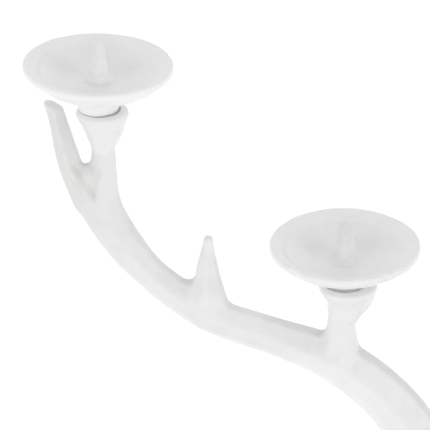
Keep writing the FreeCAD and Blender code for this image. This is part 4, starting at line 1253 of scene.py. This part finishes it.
class CHANDELIER_OT_spikes(bpy.types.Operator):
    """Make the spikes that the candles are pressed on to"""

    bl_idname = "chandelier.spikes"
    bl_label = "Spikes"

    def execute(self, context):
        shank = context.scene.chandelier_seats.shank / 2
        # The spikes are painted in the lighter spike colour, a painted highlight for the light falling on
        # them from the front.
        enamel = cast_enamel("pricket_enamel", 150.0, 0.3, colour_name="spike")
        for seat in SEATS:
            axis = seat_axis(seat)[0]
            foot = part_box(seat + "_pricket_1")[0].z
            put_on_arms(seat + "_pricket", spike_mesh(seat, shank), axis, foot, enamel, "pricket_enamel")
        return {"FINISHED"}


# Chain, ceiling rose, column and hub

CHAIN_LINKS = sorted(node for node in frame["nodes"] if node.startswith("chain_link"))
HUNG_NODES = ("ceiling_hook", *CHAIN_LINKS, "hanging_eye")
FITTING_NODES = ("ceiling_rose", "column_cap", "column_tube", "column_base", "hub_plate",
                 "hub_cover", "finial")
ZINC_NODES = ("hook_nut", "tie_rod", "hub_washer", "hub_nut", "arm_bolts", "cup_studs")
SWING_HEIGHTS = sorted(joint["pos_m"][2] for joint in frame["joints"] if joint["name"].endswith("swing"))
RUB_REACH = 4.5 * MM
SOFT_EDGE = 0.5 * MM


class CHANDELIER_OT_chain(bpy.types.Operator):
    """Finish the hook, the chain and the hanging eye, rubbed where they hang on each other"""

    bl_idname = "chandelier.chain"
    bl_label = "Chain"

    def execute(self, context):
        enamel = chain_enamel("chain_enamel")
        for node in HUNG_NODES:
            piece = dress(node, enamel)
            places = places_of(piece.data)
            rub = np.zeros(len(places))
            for height in SWING_HEIGHTS:
                gap = np.linalg.norm(places - np.array((0, 0, height)), axis=1)
                rub = np.maximum(rub, 1 - gap / RUB_REACH)
            store(piece.data, "rub", np.clip(rub, 0, 1))
        return {"FINISHED"}


class CHANDELIER_OT_fittings(bpy.types.Operator):
    """Finish the ceiling rose, the column, the hub and the finial"""

    bl_idname = "chandelier.fittings"
    bl_label = "Rose, column and hub"

    def execute(self, context):
        enamel = cast_enamel("fitting_enamel", 90.0, 0.2)
        for node in FITTING_NODES:
            piece = dress(node, enamel)
            bevel = piece.modifiers.new("Soft edges", "BEVEL")
            bevel.width = SOFT_EDGE
            bevel.segments = 2
            bevel.limit_method = "ANGLE"
            bevel.angle_limit = EDGE_ANGLE
        return {"FINISHED"}


class CHANDELIER_OT_hardware(bpy.types.Operator):
    """Finish the nuts, bolts, washer, studs and tie rod"""

    bl_idname = "chandelier.hardware"
    bl_label = "Nuts and bolts"

    def execute(self, context):
        zinc = zinc_plate("zinc_steel")
        for node in ZINC_NODES:
            dress(node, zinc)
        return {"FINISHED"}


# Stage

FRAME_WIDTH = 36.0
FOCAL_PIXELS = 3415
PICTURE_PIXELS = 430
CAMERA_PLACE = (0.002857, -2.030539, PLATE_TOP + 1.274196)
CAMERA_TURN = math.radians(6)
CAMERA_DIP = math.radians(27.3)
FAR_CLIP = 50
FLOOR_REACH = 6.0
LAMP_PLACE = (1.9, -0.8, 0.1)
LAMP_AIM = (0, 0, -0.4)
LAMP_WIDTH = 1.2


def add_camera():
    data = bpy.data.cameras.new("camera")
    data.sensor_width = FRAME_WIDTH
    data.lens = FRAME_WIDTH * FOCAL_PIXELS / PICTURE_PIXELS
    data.clip_end = FAR_CLIP
    camera = bpy.data.objects.new("camera", data)
    camera.location = CAMERA_PLACE
    camera.rotation_euler = (math.pi / 2 - CAMERA_DIP, 0, CAMERA_TURN)
    bpy.context.scene.collection.objects.link(camera)
    bpy.context.scene.camera = camera


def seen_directly(shader):
    """1 for rays from the camera, mirrors and glass, 0 for the light that falls on the object."""
    path = shader.add("ShaderNodeLightPath", output="Is Camera Ray")
    mirrored = shader.add("ShaderNodeLightPath", output="Is Glossy Ray")
    through = shader.add("ShaderNodeLightPath", output="Is Transmission Ray")
    sockets = {0: path + mirrored + through, 1: 1.0}
    return shader.add("ShaderNodeMath", {"operation": "MINIMUM"}, sockets)


def add_world(light):
    world = bpy.data.worlds.new("studio")
    bpy.context.scene.world = world
    shader = Shader(world)
    way = shader.add("ShaderNodeTexCoord", output="Generated")
    height = shader.add("ShaderNodeSeparateXYZ", {}, {0: way}, output="Z")
    falling = shader.ramp(height, [(0.0, light.horizon), (1.0, light.sky)])
    tint = shader.mix(seen_directly(shader), falling, (1, 1, 1, 1))
    glow = shader.add("ShaderNodeBackground", {}, {"Color": tint, "Strength": 1.0})
    shader.add("ShaderNodeOutputWorld", {}, {"Surface": glow})


def add_floor(light):
    mesh = bpy.data.meshes.new("floor")
    corners = [(x * FLOOR_REACH, y * FLOOR_REACH, 0) for x, y in ((-1, -1), (1, -1), (1, 1), (-1, 1))]
    mesh.from_pydata(corners, [], [(0, 1, 2, 3)])
    floor = bpy.data.objects.new("floor", mesh)
    floor.location = (0, 0, light.floor_level)
    bpy.context.scene.collection.objects.link(floor)
    material = bpy.data.materials.new("pale_floor")
    shader = Shader(material)
    chalk = shader.add("ShaderNodeBsdfDiffuse", {}, {"Color": (0.9, 0.9, 0.9, 1)})
    glow = shader.add("ShaderNodeEmission", {}, {"Color": (1, 1, 1, 1), "Strength": light.floor_glow})
    both = shader.add("ShaderNodeAddShader", {}, {0: chalk, 1: glow})
    shader.add("ShaderNodeOutputMaterial", {}, {"Surface": both})
    mesh.materials.append(material)


def add_lamp(name, place, aim, width, watts):
    data = bpy.data.lights.new(name, "AREA")
    data.shape = "DISK"
    data.size = width
    data.energy = watts
    lamp = bpy.data.objects.new(name, data)
    lamp.location = place
    way = Vector(aim) - Vector(place)
    lamp.rotation_euler = way.to_track_quat("-Z", "Y").to_euler()
    lamp.visible_camera = False
    bpy.context.scene.collection.objects.link(lamp)


class CHANDELIER_OT_stage(bpy.types.Operator):
    """Set the camera, the pale floor and the soft light"""

    bl_idname = "chandelier.stage"
    bl_label = "Stage"

    def execute(self, context):
        light = context.scene.chandelier_light
        context.scene.view_settings.view_transform = "Standard"
        add_camera()
        add_world(light)
        add_floor(light)
        add_lamp("side_lamp", LAMP_PLACE, LAMP_AIM, LAMP_WIDTH, light.side_watts)
        return {"FINISHED"}


class CHANDELIER_PT_pieces(bpy.types.Panel):
    """The chandelier's pieces, sizes and finishes"""

    bl_idname = "CHANDELIER_PT_pieces"
    bl_label = "Antler chandelier"
    bl_space_type = "VIEW_3D"
    bl_region_type = "UI"
    bl_category = "Chandelier"

    def draw(self, context):
        column = self.layout.column(align=True)
        for operator in OPERATORS:
            column.operator(operator.bl_idname)
        for key in GROUPS:
            group = getattr(context.scene, key)
            column.label(text=key.split("_")[1].title())
            for name in group.__annotations__:
                column.prop(group, name)


OPERATORS = (
    CHANDELIER_OT_antlers,
    CHANDELIER_OT_cups,
    CHANDELIER_OT_pans,
    CHANDELIER_OT_spikes,
    CHANDELIER_OT_chain,
    CHANDELIER_OT_fittings,
    CHANDELIER_OT_hardware,
    CHANDELIER_OT_stage,
)
GROUPS = {
    "chandelier_antler": AntlerSizes,
    "chandelier_seats": SeatSizes,
    "chandelier_finish": FinishColours,
    "chandelier_light": StudioLight,
}


def register():
    for group in GROUPS.values():
        bpy.utils.register_class(group)
    for kind in (*OPERATORS, CHANDELIER_PT_pieces):
        bpy.utils.register_class(kind)
    for key, group in GROUPS.items():
        setattr(bpy.types.Scene, key, PointerProperty(type=group))


def unregister():
    for key in GROUPS:
        delattr(bpy.types.Scene, key)
    for kind in (CHANDELIER_PT_pieces, *reversed(OPERATORS), *GROUPS.values()):
        bpy.utils.unregister_class(kind)


def corners(box):
    return [list(corner) for corner in box]


def main():
    register()
    bpy.ops.chandelier.antlers()
    bpy.ops.chandelier.cups()
    bpy.ops.chandelier.pans()
    bpy.ops.chandelier.spikes()
    bpy.ops.chandelier.chain()
    bpy.ops.chandelier.fittings()
    bpy.ops.chandelier.hardware()
    bpy.ops.chandelier.stage()


if __name__ == "__main__":
    main()
